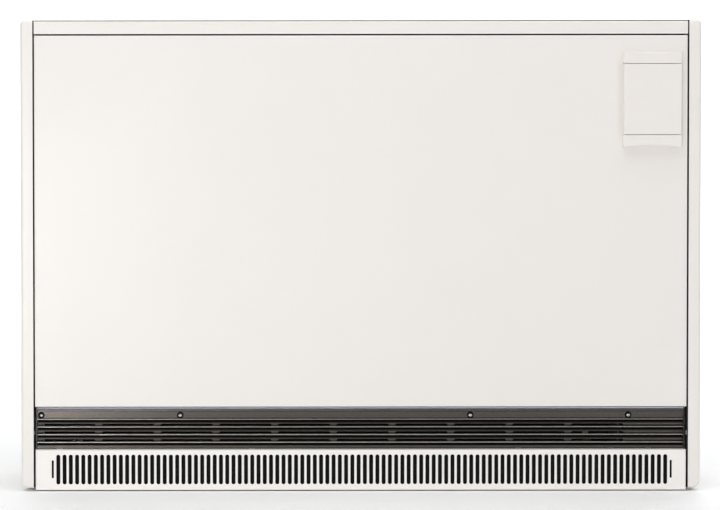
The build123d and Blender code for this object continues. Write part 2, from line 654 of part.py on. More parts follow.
def motor_bridges():
    """Two cast bridges that carry the motor shaft's bearings."""
    bridges = []
    for side in (-1, 1):
        face = MOTOR_X + side * (STACK_THICK / 2 + 0.1)
        bar = sorted((face + side * 10, face + side * 13))
        leg = sorted((face, face + side * 13))
        hub = sorted((face + side * 10, face + side * 17))
        bridge = prism_x(rect((8, 52), (40, 52)), bar)
        bridge += prism_x(rect((8, 13), (40, 52)), leg) + prism_x(rect((47, 52), (40, 52)), leg)
        bridge += prism_x(Pos(FAN_Y, FAN_Z) * Circle(HUB_R), hub)
        bore = prism_x(Pos(FAN_Y, FAN_Z) * Circle(SHAFT_R + BEARING_CLEARANCE), shrunk(hub, -1))
        bridges.append(bridge - bore)
    return bridges


def motor_mount():
    """Bracket that stands the motor on the base tray."""
    half = STACK_THICK / 2
    mount = block((MOTOR_X - half - 1.6, MOTOR_X + half + 1.6), (2, 48), (BASE_TOP + 0.05, BASE_TOP + 1.5))
    for side in (-1, 1):
        cheek = sorted((MOTOR_X + side * (half + 0.1), MOTOR_X + side * (half + 1.6)))
        mount += block(cheek, (16, 44), (BASE_TOP + 0.05, 29))
    return mount


# Core


def brick():
    """One storage brick, with grooves for the elements above and below and two air channels beneath."""
    long, deep, high = BRICK
    body = block((0, long), (CORE_FRONT, CORE_FRONT + deep), (0, high))
    for y in ELEMENT_Y:
        for z in (0, high):
            body -= rod(GROOVE_R, (-1, y, z), long + 2, "X")
    for x in AIRWAY_AT:
        body -= block((x, x + AIRWAY[0]), (CORE_FRONT - 1, CORE_FRONT + deep + 1), (-1, AIRWAY[1]))
    return body


def brick_stack(number):
    """One stack of bricks."""
    one = brick()
    x = CORE_LEFT + BRICK_PITCH * number
    return [Pos(x, 0, CORE_FOOT + LAYER * layer) * one for layer in range(LAYERS)]


def heating_element(z):
    """Hairpin element between two layers, with a threaded stud on each cold end."""
    start, end = ELEMENT_X
    low, high = ELEMENT_Y
    path = Line((end, low, z), (start, low, z))
    path += ThreePointArc((start, low, z), (start - ELEMENT_BEND, ELEMENT_MID_Y, z), (start, high, z))
    path += Line((start, high, z), (end, high, z))
    element = sweep(Plane(origin=(end, low, z), z_dir=(-1, 0, 0)) * Circle(ELEMENT_R), path)
    for y in ELEMENT_Y:
        element += rod(STUD_R, (end - 1, y, z), STUD_END - end + 1, "X")
    return element


def element_bushes():
    """Ceramic bushes where the elements pass the partition."""
    bushes = []
    for z in ELEMENT_Z:
        for y in ELEMENT_Y:
            bush = rod(BUSH_R, (CORE_ROOM_RIGHT, y, z), 4, "X")
            bush += rod(BUSH_FLANGE_R, (PARTITION_X + SHEET + 0.05, y, z), 4, "X")
            bushes.append(bush - rod(BUSH_BORE_R, (CORE_ROOM_RIGHT - 1, y, z), 10, "X"))
    return bushes


def core_support():
    """Steel deck on six legs that carries the bricks and leaves the risers open."""
    deck = block((INSULATION_X[0], CORE_ROOM_RIGHT - 1), DECK_Y, DECK_Z)
    for fan in (FAN_LEFT_X, FAN_RIGHT_X):
        deck -= block(shrunk(fan, 2), RISER_Y, (DECK_Z[0] - 1, DECK_Z[1] + 1))
    for x in LEG_X:
        for y in LEG_Y:
            leg = (x - LEG / 2, x + LEG / 2)
            deck += block(leg, y, (BASE_TOP + 0.05, DECK_Z[0])) - block(shrunk(leg, 2), shrunk(y, -3), (12, 108))
    return deck


def insulation(name):
    """One insulating board of the set that wraps the core."""
    front, inner_front, inner_back, back = INSULATION_Y
    left, inner_left, inner_right, right = INSULATION_X
    foot, floor, shoulder, ceiling, top = INSULATION_Z
    gap = 0.5
    between = (inner_front + gap, inner_back)
    boards = {
        "front": ((left + 2, right), (front, inner_front), (foot + 1, top)),
        "rear": ((left + 12, right), (inner_back + gap, back), (foot, top - 9)),
        "left": ((left, inner_left), between, (foot, shoulder)),
        "right": ((inner_right, right), between, (foot, shoulder)),
        "top": ((left, right), between, (ceiling, top)),
        "floor": ((inner_left + 1, inner_right - 1), (DECK_Y[0], RISER_Y[0] - 1), (foot, floor)),
    }
    board = block(*boards[name])
    if name == "right":
        for z in ELEMENT_Z:
            for y in ELEMENT_Y:
                board -= rod(ELEMENT_R + 1.5, (inner_right - 1, y, z), 60, "X")
    return board


# Switch compartment


def partition():
    """Sheet wall between the core and the switch compartment."""
    x = (PARTITION_X, PARTITION_X + SHEET)
    flange = (PARTITION_X, PARTITION_X + COMPARTMENT_FLANGE)
    y, z = (-99.5, 122.0), (BASE_TOP + 0.05, PANEL_TOP - 2.5)
    front = -114.0
    wall = block(x, y, z) + block(x, (front, y[1]), (PANEL_FOOT + 1.5, z[1]))
    wall += block(flange, (front, front + SHEET), (PANEL_FOOT + 1.5, z[1]))
    wall += block(flange, (y[1] - SHEET, y[1]), z) + block(flange, y, (z[0], z[0] + SHEET))
    for height in ELEMENT_Z:
        for place in ELEMENT_Y:
            wall -= rod(BUSH_HOLE_R, (PARTITION_X - 1, place, height), 3, "X")
    wall -= rod(SENSOR_R + 0.5, (PARTITION_X - 1, ELEMENT_MID_Y, SENSOR_Z), 3, "X")
    hole_y, hole_z, hole_r = FAN_LEAD_HOLE
    return wall - rod(hole_r, (PARTITION_X - 1, hole_y, hole_z), 3, "X")


def terminal_places():
    """Where the mains terminals stand along the block."""
    return row(TERMINALS, TERMINAL_PITCH, sum(TERMINAL_Y) / 2)


def terminal_block():
    """Mains terminal block, with a wire hole and a screw well at each pole."""
    body = block(TERMINAL_X, TERMINAL_Y, TERMINAL_Z)
    mid = sum(TERMINAL_Z) / 2
    for y in terminal_places():
        body -= rod(3.2, (TERMINAL_X[1] - 8, y, mid), 9, "X")
        body -= rod(2.6, (384, y, TERMINAL_Z[1] - 8), 9, "Z")
        body -= block((TERMINAL_X[1] - 12, TERMINAL_X[1] + 1), (y + 6.9, y + 8.1), (TERMINAL_Z[0] - 1, mid - 6))
    return body


def terminal_screws():
    """Brass clamping screws of the terminal block."""
    mid = sum(TERMINAL_Z) / 2
    screws = []
    for y in terminal_places():
        screw = rod(3.0, (TERMINAL_X[1] - 7.9, y, mid), 4, "X")
        screws.append(screw - block((TERMINAL_X[1] - 4.9, TERMINAL_X[1]), (y - 4, y + 4), (mid - 0.5, mid + 0.5)))
    return screws


def board_tray():
    """Plastic carrier of the charge controller, with four posts."""
    start = PARTITION_X + SHEET + 0.1
    tray = block((start, start + 2), shrunk(BOARD_Y, -4), shrunk(BOARD_Z, -4))
    tray -= block((start - 1, start + 3), shrunk(BOARD_Y, 20), shrunk(BOARD_Z, 20))
    for y in shrunk(BOARD_Y, 6):
        for z in shrunk(BOARD_Z, 6):
            tray += rod(3.5, (start, y, z), BOARD_X - start, "X")
    return tray


def control_board():
    """Circuit board of the charge controller."""
    return block((BOARD_X, BOARD_X + BOARD_THICK), BOARD_Y, BOARD_Z)


def board_components():
    """Relays, transformer and capacitors on the board, each a block of its own."""
    face = BOARD_X + BOARD_THICK + 0.05
    parts = []
    for y in (-62, -40, -18):
        relay = block((face, face + 18), (y - 8, y + 8), (250, 275))
        parts.append(fillet(relay.edges().filter_by(Axis.X), 1))
    parts.append(block((face, face + 26), (12, 48), (250, 290)))
    for y, z in ((-60, 300), (-40, 305), (-20, 300), (0, 312)):
        parts.append(rod(6, (face, y, z), 15, "X"))
    parts.append(block((face, face + 12), (14, 46), (305, 338)))
    parts += [block((face, face + 2), (y, y + 12), (324, 334)) for y in (-70, -52, -34)]
    return parts


def heat_limiter():
    """Over-temperature limiter with a hand reset, on the partition."""
    start = PARTITION_X + SHEET + 0.1
    body = rod(LIMITER_R, (start, LIMITER_Y, LIMITER_Z), LIMITER_END - start, "X")
    body += rod(LIMITER_R + 5, (start, LIMITER_Y, LIMITER_Z), 2, "X")
    return body - rod(BUTTON_R + 0.1, (LIMITER_END - 8, LIMITER_Y, LIMITER_Z), 9, "X")


def reset_button():
    """Push button of the limiter."""
    button = rod(BUTTON_R, (LIMITER_END - 5.5, LIMITER_Y, LIMITER_Z), 10.5, "X")
    return fillet(button.faces().sort_by(Axis.X)[-1].edges(), 0.8)


def core_sensor():
    """Temperature probe over the bricks, with its head in the compartment."""
    probe = rod(SENSOR_R, (225, ELEMENT_MID_Y, SENSOR_Z), 160, "X")
    return probe + rod(6, (378, ELEMENT_MID_Y, SENSOR_Z), 14, "X")


def cable_gland():
    """Gland for the mains cable in the back panel, with its locknut inside."""
    centre = Pos(GLAND_X, GLAND_Z)
    body = prism_y(centre * Circle(GLAND_THREAD_R), (BACK - 9, BACK + 1))
    body += prism_y(centre * RegularPolygon(14, 6), (BACK + 0.1, BACK + 4))
    dome = prism_y(centre * Circle(11), (BACK + 4, BACK + 9.5))
    body += fillet(dome.faces().sort_by(Axis.Y)[-1].edges(), 3)
    body += prism_y(centre * RegularPolygon(14, 6), (BACK - 6.2, BACK - SHEET - 0.1))
    return body - rod(GLAND_BORE_R, (GLAND_X, BACK - 12, GLAND_Z), 24, "Y")


def wiring_loom():
    """Leads from the terminal block to the element studs, tied along the back of the compartment."""
    wires = []
    studs = [(y, z) for z in ELEMENT_Z for y in ELEMENT_Y]
    for n, (stud_y, stud_z) in enumerate(studs):
        start_y = terminal_places()[n]
        trunk_x, level = 408.0 + 7 * n, 128.0 + 6 * n
        points = [(384, start_y, TERMINAL_Z[1] - 7.5), (384, start_y, level), (trunk_x, 90, level),
                  (trunk_x, 90, stud_z), (trunk_x, stud_y, stud_z), (STUD_END + 0.2, stud_y, stud_z)]
        path = FilletPolyline(*points, radius=WIRE_BEND)
        section = Plane(origin=path @ 0, z_dir=path % 0) * Circle(WIRE_R)
        wires.append(sweep(section, path))
    return wires


# Controls


def scooped(body, towards):
    """Cuts a shallow thumb scoop into the upper or lower end of the housing, deepest at its face."""
    half = (HOUSING_X[1] - HOUSING_X[0]) / 2
    radius = (half**2 + SCOOP_DIP**2) / (2 * SCOOP_DIP)
    edge = HOUSING_Z[1] if towards > 0 else HOUSING_Z[0]
    centre = edge + towards * (radius - SCOOP_DIP)
    cone = Cone(radius - SCOOP_DIP, radius, HOUSING_PROUD)
    middle_y = FRONT - HOUSING_PROUD / 2
    return body - Pos((HOUSING_X[0] + HOUSING_X[1]) / 2, middle_y, centre) * Rot(90, 0, 0) * cone


def control_housing():
    """Moulded housing on the front panel: two end caps, a rim and a tub that holds the fascia."""
    face = FRONT - HOUSING_PROUD
    ends = ((HOUSING_Z[0], LID_Z[0] - LID_GAP), (LID_Z[1] + LID_GAP, HOUSING_Z[1]))
    body = block(shrunk(HOUSING_X, 1.1), RIM_Y, shrunk(HOUSING_Z, 1))
    for towards, z in zip((-1, 1), ends):
        cap = block(HOUSING_X, (face, RIM_Y[1]), z)
        cap = fillet(cap.faces().sort_by(Axis.Y)[0].edges().filter_by(Axis.Z), 1.5)
        body += scooped(cap, towards)
    tub = block(TUB_X, (RIM_Y[0], FASCIA_Y[1]), TUB_Z)
    body += tub
    body -= block(shrunk(TUB_X, TUB_WALL), (RIM_Y[0] - 1, FASCIA_Y[0]), shrunk(TUB_Z, TUB_WALL))
    for z in DIALS.values():
        body -= rod(DIAL_STUB_R + 0.4, (DIAL_X, FASCIA_Y[0] - 1, z), 4, "Y")
    for z in (LID_Z[1] - 1, LID_Z[0] - 7):
        body -= rod(PIN_HOLE_R, (HINGE_X, HINGE_Y, z), 8, "Z")
    return body


def control_lid():
    """Lid over the dials. It turns on a knuckle along its left edge and has a finger tab at its right."""
    face = FRONT - HOUSING_PROUD
    shell = block(LID_X, (face, LID_BACK_Y), LID_Z)
    corners = shell.faces().sort_by(Axis.Y)[0].edges().filter_by(Axis.Z).sort_by(Axis.X)
    shell = fillet(corners[0], 3)
    corners = shell.faces().sort_by(Axis.Y)[0].edges().filter_by(Axis.Z).sort_by(Axis.X)
    shell = fillet(corners[-1], 1.5)
    shell -= block(shrunk(LID_X, LID_WALL), (face + LID_WALL, LID_BACK_Y), shrunk(LID_Z, LID_WALL))
    shell -= block((LID_X[0] - 1, HINGE_X), (HINGE_Y, LID_BACK_Y + 1), shrunk(LID_Z, -1))
    shell += rod(KNUCKLE_R, (HINGE_X, HINGE_Y, LID_Z[0]), LID_Z[1] - LID_Z[0], "Z")
    tab = Polyline((LID_X[1] - 1, 592.5), (LID_X[1] + 2.4, 583.5), (LID_X[1] - 1, 578.5), close=True)
    shell += prism_y(make_face(tab), (face + 2.5, face + 6))
    return shell - rod(PIN_BORE_R, (HINGE_X, HINGE_Y, LID_Z[0] - 1), LID_Z[1] - LID_Z[0] + 2, "Z")


def lid_pins():
    """Steel pins pressed into the lid's knuckle that turn in the housing's end caps."""
    reach = 5.9
    upper = rod(PIN_R, (HINGE_X, HINGE_Y, LID_Z[1] + reach - PIN_LENGTH), PIN_LENGTH, "Z")
    lower = rod(PIN_R, (HINGE_X, HINGE_Y, LID_Z[0] - reach), PIN_LENGTH, "Z")
    return [upper, lower]


def dial(z):
    """Fluted knob with a pointer rib, and a spindle that reaches its potentiometer."""
    face, skirt, back = DIAL_Y
    knob = rod(DIAL_R, (DIAL_X, face, z), skirt - face, "Y")
    knob = fillet(knob.faces().sort_by(Axis.Y)[0].edges(), 1.0)
    flutes = []
    for n in range(DIAL_FLUTES):
        angle = math.tau * (n + 0.5) / DIAL_FLUTES
        place = (DIAL_X + (DIAL_R + 0.5) * math.cos(angle), face - 1, z + (DIAL_R + 0.5) * math.sin(angle))
        flutes.append(rod(1.0, place, skirt - face + 1, "Y"))
    knob -= flutes
    knob += rod(DIAL_SKIRT_R, (DIAL_X, skirt, z), back - skirt, "Y")
    knob += block((DIAL_X - 1.2, DIAL_X + 1.2), (face - 0.8, face + 1), (z + 1, z + DIAL_R - 1.5))
    return knob + rod(DIAL_STUB_R, (DIAL_X, back - 0.5, z), 9, "Y")


def potentiometers():
    """Two potentiometers on the back of the fascia that the dials turn."""
    bodies = []
    for z in DIALS.values():
        body = block((DIAL_X - 10, DIAL_X + 10), (FASCIA_Y[1] + 0.1, -105), (z - 10, z + 10))
        body = fillet(body.edges().filter_by(Axis.Y), 3)
        bodies.append(body - rod(DIAL_STUB_R + 0.06, (DIAL_X, FASCIA_Y[1] - 1, z), 9.5, "Y"))
    return bodies


def nodes():
    """Every sub-part by name, each a solid or a list of separate solids."""
    made = {
        "side_panel_left": side_panel(-1),
        "side_panel_right": side_panel(1),
        "top_cover": top_cover(),
        "front_panel": front_panel(),
        "rear_panel": rear_panel(),
        "base_tray": base_tray(),
        "foot_rails": foot_rails(),
        "wall_bracket": wall_bracket(),
        "rear_screws": rear_screws(),
        "outlet_frame": outlet_frame(),
        "outlet_louvre": outlet_louvre(),
        "louvre_screws": louvre_screws(),
        "louvre_washers": louvre_washers(),
        "inlet_grille": inlet_grille(),
        "inlet_clips": inlet_clips(),
        "filter_frame": filter_frame(),
        "filter_mesh": filter_mesh(),
        "air_divider": air_divider(),
        "damper_flap": damper_flap(),
        "damper_shaft": damper_shaft(),
        "bimetal_coil": bimetal_coil(),
        "fan_scrolls": [fan_scroll(FAN_LEFT_X), fan_scroll(FAN_RIGHT_X)],
        "impeller_left": impeller(FAN_LEFT_X),
        "impeller_right": impeller(FAN_RIGHT_X),
        "fan_shafts": fan_shafts(),
        "fan_bearings": fan_bearings(),
        "motor_stator": motor_stator(),
        "motor_coil": motor_coil(),
        "motor_rotor": motor_rotor(),
        "motor_bridges": motor_bridges(),
        "motor_mount": motor_mount(),
        "heating_elements": [heating_element(z) for z in ELEMENT_Z],
        "element_bushes": element_bushes(),
        "core_support": core_support(),
        "switch_partition": partition(),
        "terminal_block": terminal_block(),
        "terminal_screws": terminal_screws(),
        "board_tray": board_tray(),
        "control_board": control_board(),
        "board_components": board_components(),
        "heat_limiter": heat_limiter(),
        "reset_button": reset_button(),
        "core_sensor": core_sensor(),
        "cable_gland": cable_gland(),
        "wiring_loom": wiring_loom(),
        "control_housing": control_housing(),
        "control_lid": control_lid(),
        "lid_pins": lid_pins(),
        "potentiometers": potentiometers(),
    }
    for number in range(STACKS):
        made[f"brick_stack_{number + 1}"] = brick_stack(number)
    for board in ("front", "rear", "top", "floor"):
        made[f"insulation_{board}"] = insulation(board)
    made["insulation_ends"] = [insulation("left"), insulation("right")]
    for name, z in DIALS.items():
        made[name] = dial(z)
    return made


os.makedirs("parts", exist_ok=True)
for node, shape in nodes().items():
    pieces = shape if isinstance(shape, list) else shape.solids()
    export_step(Compound(children=list(pieces)), f"parts/{node}.step")
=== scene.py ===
import math

import bmesh
import bpy
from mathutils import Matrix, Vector
from mathutils.geometry import tessellate_polygon


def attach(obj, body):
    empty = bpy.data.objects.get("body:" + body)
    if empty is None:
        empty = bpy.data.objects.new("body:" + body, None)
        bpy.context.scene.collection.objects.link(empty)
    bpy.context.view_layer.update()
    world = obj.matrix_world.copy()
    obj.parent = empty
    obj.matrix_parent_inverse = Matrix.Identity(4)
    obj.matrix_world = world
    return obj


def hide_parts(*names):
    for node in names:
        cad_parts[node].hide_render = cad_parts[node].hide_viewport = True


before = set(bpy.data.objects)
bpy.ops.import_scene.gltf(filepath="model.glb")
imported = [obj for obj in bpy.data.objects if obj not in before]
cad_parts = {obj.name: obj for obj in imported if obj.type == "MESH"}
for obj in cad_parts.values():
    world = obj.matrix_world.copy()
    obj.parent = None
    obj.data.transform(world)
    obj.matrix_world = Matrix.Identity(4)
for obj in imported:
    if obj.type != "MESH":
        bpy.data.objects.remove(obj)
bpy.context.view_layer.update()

# ---------------------------------------------------------------------------------------------------
# Foot rails, base tray, rear panel and wall bracket.
# Folded from zinc-coated steel sheet, spot welded and riveted. The zinc's crystals show as spangle.
# ---------------------------------------------------------------------------------------------------

def node(tree, kind, inputs=None, **options):
    """Adds a shader node, sets its options, and sets or links its inputs by name or number."""
    made = tree.nodes.new(kind)
    for name, value in options.items():
        setattr(made, name, value)
    for name, value in (inputs or {}).items():
        if isinstance(value, bpy.types.NodeSocket):
            tree.links.new(value, made.inputs[name])
        else:
            made.inputs[name].default_value = value
    return made


def mix_colour(tree, factor, first, second):
    """A colour between two others."""
    return node(tree, "ShaderNodeMix", {0: factor, 6: first, 7: second}, data_type="RGBA").outputs[2]


def remap(tree, value, low, high, start=0.0, end=1.0):
    """A value stretched from one range to another."""
    inputs = {"Value": value, "From Min": start, "From Max": end, "To Min": low, "To Max": high}
    return node(tree, "ShaderNodeMapRange", inputs).outputs[0]


def times(tree, first, second):
    """The product of two values."""
    return node(tree, "ShaderNodeMath", {0: first, 1: second}, operation="MULTIPLY").outputs[0]


def new_group(name, inputs, outputs):
    """An empty shader node group with named inputs and outputs, and its two ends."""
    tree = bpy.data.node_groups.new(name, "ShaderNodeTree")
    for label, value in inputs.items():
        kind = "NodeSocketVector" if isinstance(value, tuple) else "NodeSocketFloat"
        tree.interface.new_socket(label, in_out="INPUT", socket_type=kind).default_value = value
    for label in outputs:
        tree.interface.new_socket(label, in_out="OUTPUT", socket_type="NodeSocketFloat")
    return tree, tree.nodes.new("NodeGroupInput").outputs, tree.nodes.new("NodeGroupOutput").inputs


def use_group(tree, group, **inputs):
    """Places a node group in a material. Underscores in input names stand for spaces."""
    made = tree.nodes.new("ShaderNodeGroup")
    made.node_tree = group
    for name, value in inputs.items():
        made.inputs[name.replace("_", " ")].default_value = value
    return made.outputs


grain_inputs = {"Size": 0.001, "Patch size": 0.05, "Stretch": (1.0, 1.0, 1.0)}
grain, grain_in, grain_out = new_group("Fine grain", grain_inputs, ("Height", "Patches"))
here = node(grain, "ShaderNodeTexCoord").outputs["Object"]
drawn_out = {0: here, 1: grain_in["Stretch"]}
along = node(grain, "ShaderNodeVectorMath", drawn_out, operation="MULTIPLY").outputs[0]
for size, output, detail in (("Size", "Height", 3.0), ("Patch size", "Patches", 2.0)):
    scale = node(grain, "ShaderNodeMath", {0: 1.0, 1: grain_in[size]}, operation="DIVIDE").outputs[0]
    cloud = node(grain, "ShaderNodeTexNoise", {"Vector": along, "Scale": scale, "Detail": detail}).outputs[0]
    grain.links.new(remap(grain, cloud, 0.0, 1.0, 0.3, 0.7), grain_out[output])

wear, wear_in, wear_out = new_group("Edge wear", {"Radius": 0.0006, "Breakup": 0.01}, ("Mask",))
rounded = node(wear, "ShaderNodeBevel", {"Radius": wear_in["Radius"]}, samples=4).outputs[0]
flat = node(wear, "ShaderNodeNewGeometry").outputs["Normal"]
facing = node(wear, "ShaderNodeVectorMath", {0: rounded, 1: flat}, operation="DOT_PRODUCT").outputs["Value"]
edge = remap(wear, facing, 1.0, 0.0, 0.72, 0.985)
here = node(wear, "ShaderNodeTexCoord").outputs["Object"]
scale = node(wear, "ShaderNodeMath", {0: 1.0, 1: wear_in["Breakup"]}, operation="DIVIDE").outputs[0]
chips = node(wear, "ShaderNodeTexNoise", {"Vector": here, "Scale": scale, "Detail": 6.0}).outputs[0]
wear.links.new(times(wear, edge, remap(wear, chips, 0.0, 1.0, 0.4, 0.62)), wear_out["Mask"])


def finish(name, colour, shade, roughness, grain_size, relief, metallic=0.0, stretch=(1, 1, 1),
           patch=0.06, worn=None, amount=0.5, edge_radius=0.0005, coat=0.0, specular=0.5, soft_edge=0.0):
    """A material with two tones in patches, fine grain in its roughness and relief, and worn edges."""
    made = bpy.data.materials.new(name)
    made.use_nodes = True
    tree = made.node_tree
    shader = tree.nodes["Principled BSDF"]
    texture = use_group(tree, grain, Size=grain_size, Patch_size=patch, Stretch=stretch)
    tone = mix_colour(tree, texture["Patches"], (*colour, 1), (*shade, 1))
    if worn:
        mask = times(tree, use_group(tree, wear, Radius=edge_radius, Breakup=0.012)["Mask"], amount)
        tone = mix_colour(tree, mask, tone, (*worn, 1))
    tree.links.new(tone, shader.inputs["Base Color"])
    rough = times(tree, remap(tree, texture["Height"], roughness[0], roughness[1]),
                  remap(tree, texture["Patches"], 0.94, 1.06))
    tree.links.new(rough, shader.inputs["Roughness"])
    raised = {"Height": texture["Height"], "Strength": 1.0, "Distance": relief}
    if soft_edge:
        raised["Normal"] = node(tree, "ShaderNodeBevel", {"Radius": soft_edge}, samples=4).outputs[0]
    bump = node(tree, "ShaderNodeBump", raised)
    tree.links.new(bump.outputs[0], shader.inputs["Normal"])
    shader.inputs["Metallic"].default_value = metallic
    shader.inputs["Coat Weight"].default_value = coat
    shader.inputs["Specular IOR Level"].default_value = specular
    return made


spangle, spangle_in, spangle_out = new_group("Spangle", {"Crystal": 0.012}, ("Shade", "Height"))
here = node(spangle, "ShaderNodeTexCoord").outputs["Object"]
scale = node(spangle, "ShaderNodeMath", {0: 1.0, 1: spangle_in["Crystal"]}, operation="DIVIDE").outputs[0]
drift = node(spangle, "ShaderNodeTexNoise", {"Vector": here, "Scale": 130.0, "Detail": 3.0}).outputs["Color"]
warp = node(spangle, "ShaderNodeVectorMath", {0: drift, "Scale": 0.006}, operation="SCALE").outputs[0]
bent = node(spangle, "ShaderNodeVectorMath", {0: here, 1: warp}, operation="ADD").outputs[0]
crystal = node(spangle, "ShaderNodeTexVoronoi", {"Vector": bent, "Scale": scale})
tint = node(spangle, "ShaderNodeSeparateColor", {0: crystal.outputs["Color"]}).outputs[0]
spangle.links.new(tint, spangle_out["Shade"])
spangle.links.new(remap(spangle, crystal.outputs["Distance"], 1.0, 0.0, 0.0, 0.8), spangle_out["Height"])


def spangled(name, colour, shade, crystal_size):
    """Zinc-coated sheet: crystals differ in tone and in how sharply they shine."""
    made = finish(name, colour=colour, shade=shade, roughness=(0.34, 0.46), grain_size=0.0009,
                  relief=0.000012, metallic=0.86, patch=0.09, worn=(0.80, 0.81, 0.83), amount=0.5,
                  soft_edge=0.0004)
    tree = made.node_tree
    shader = tree.nodes["Principled BSDF"]
    crystals = use_group(tree, spangle, Crystal=crystal_size)
    before = shader.inputs["Base Color"].links[0].from_socket
    bright = tuple(min(1.0, c * 1.28) for c in colour)
    tree.links.new(mix_colour(tree, times(tree, crystals["Shade"], 0.55), before, (*bright, 1)),
                   shader.inputs["Base Color"])
    rough = shader.inputs["Roughness"].links[0].from_socket
    tree.links.new(times(tree, rough, remap(tree, crystals["Shade"], 0.78, 1.18)), shader.inputs["Roughness"])
    return made


zinc_sheet = spangled("zinc_coated_sheet", (0.52, 0.53, 0.56), (0.44, 0.45, 0.48), 0.011)


def dress(material, *names):
    """Gives a material to parts whose shape is used as it was made."""
    for name in names:
        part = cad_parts[name]
        part.data.materials.clear()
        part.data.materials.append(material)


dress(zinc_sheet, "foot_rails", "base_tray", "rear_panel", "wall_bracket")

# ---------------------------------------------------------------------------------------------------
# Side panels.
# Pressed steel trays with a wide outer bend, powder coated white. The folded return behind the front
# flange is painted near black as painted shade, for the dark gap behind the flange.
# ---------------------------------------------------------------------------------------------------

MM, sheet = 0.001, 1.0
powder_white = finish("white_powder_coat", colour=(0.862, 0.828, 0.788), shade=(0.850, 0.818, 0.780),
                      roughness=(0.36, 0.46), grain_size=0.0016, relief=0.000018, patch=0.25,
                      worn=(0.87, 0.865, 0.85), amount=0.35, edge_radius=0.0008, coat=0.12)
powder_white.node_tree.nodes["Principled BSDF"].inputs["Coat Roughness"].default_value = 0.22
# Painted shade: a near black for faces that sit in gaps and returns.
painted_gap_shade = finish("painted_gap_shade", colour=(0.012, 0.012, 0.013), shade=(0.018, 0.018, 0.019),
                     roughness=(0.6, 0.75), grain_size=0.0010, relief=0.00001, patch=0.05)


def paint_gap_shade(shown, is_inside):
    """Paints near-black shade on faces in gaps and returns, by a test of centre and normal."""
    shown.data.materials.append(painted_gap_shade)
    for face in shown.data.polygons:
        if is_inside(face.center / MM, face.normal):
            face.material_index = 1


def on_plane(axis, which):
    """Picks the edges that lie in one side of a box: which is 0 for its low side and 1 for its high side."""
    def pick(first, second, box):
        return abs(first[axis] - box[which][axis]) < 0.01 and abs(second[axis] - box[which][axis]) < 0.01
    return pick


def both(first_pick, second_pick):
    """Picks the edges that two picks have in common."""
    return lambda first, second, box: first_pick(first, second, box) and second_pick(first, second, box)


def without(first_pick, second_pick):
    """Picks the edges of the first pick that the second one doesn't take."""
    return lambda first, second, box: first_pick(first, second, box) and not second_pick(first, second, box)


def bent_skin(low, high, open_axis, open_side, bends, less):
    """One face of a folded tray: a box without one side, its chosen edges rounded."""
    box = ([v + less for v in low], [v - less for v in high])
    box[open_side][open_axis] = (low, high)[open_side][open_axis]
    skin = bmesh.new()
    bmesh.ops.create_cube(skin, size=2.0)
    for vert in skin.verts:
        vert.co = Vector([box[vert.co[i] > 0][i] for i in range(3)])
    is_open = on_plane(open_axis, open_side)
    missing = [f for f in skin.faces if all(is_open(v.co, v.co, box) for v in f.verts)]
    bmesh.ops.delete(skin, geom=missing, context="FACES_ONLY")
    for pick, radius in bends:
        chosen = [e for e in skin.edges if pick(e.verts[0].co, e.verts[1].co, box)]
        bmesh.ops.bevel(skin, geom=chosen, offset=radius - less, segments=8, profile=0.5, affect="EDGES",
                        clamp_overlap=False)
    return skin


def add_mesh(target, other):
    """Copies one bmesh into another."""
    carrier = bpy.data.meshes.new("carrier")
    other.to_mesh(carrier)
    other.free()
    target.from_mesh(carrier)
    bpy.data.meshes.remove(carrier)


def tray(low, high, open_axis, open_side, bends):
    """A folded sheet tray with its real thickness, in millimetres."""
    made = bmesh.new()
    for less in (0.0, sheet):
        add_mesh(made, bent_skin(low, high, open_axis, open_side, bends, less))
    verts = made.verts[:]
    count = len(verts) // 2
    made.verts.index_update()
    for edge in [e for e in made.edges if e.is_boundary]:
        first, second = (v.index for v in edge.verts)
        if first < count:
            made.faces.new((verts[first], verts[second], verts[second + count], verts[first + count]))
    return made


def block(target, low, high):
    """Adds a closed box."""
    part = bmesh.new()
    bmesh.ops.create_cube(part, size=2.0)
    for vert in part.verts:
        vert.co = Vector([(low, high)[vert.co[i] > 0][i] for i in range(3)])
    add_mesh(target, part)


def link(thing):
    """Puts a new object in the scene."""
    bpy.context.scene.collection.objects.link(thing)
    return thing


def piece(name, made, material, body, stands_for=(), smooth=32):
    """Turns millimetre geometry into a finished piece that rides on a body."""
    bmesh.ops.remove_doubles(made, verts=made.verts, dist=0.0005)
    bmesh.ops.recalc_face_normals(made, faces=made.faces)
    bmesh.ops.scale(made, vec=(MM, MM, MM), verts=made.verts)
    mesh = bpy.data.meshes.new(name)
    made.to_mesh(mesh)
    made.free()
    mesh.materials.append(material)
    mesh.polygons.foreach_set("use_smooth", [True] * len(mesh.polygons))
    mesh.set_sharp_from_angle(angle=math.radians(smooth))
    shown = link(bpy.data.objects.new(name, mesh))
    weighted = shown.modifiers.new("even_flats", "WEIGHTED_NORMAL")
    weighted.keep_sharp = True
    weighted.weight = 90
    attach(shown, body)
    if stands_for:
        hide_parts(*stands_for)
    return shown


column, cabinet_half, cabinet_deep, cabinet_high = 17.5, 477.5, 125.0, 662.0
side_foot, inner = 4.5, cabinet_half - column
outer_bends = [(both(on_plane(0, 1), on_plane(2, 1)), 5.5), (both(on_plane(0, 1), on_plane(2, 0)), 10.0),
               (without(on_plane(1, 0), on_plane(0, 0)), 4.5)]
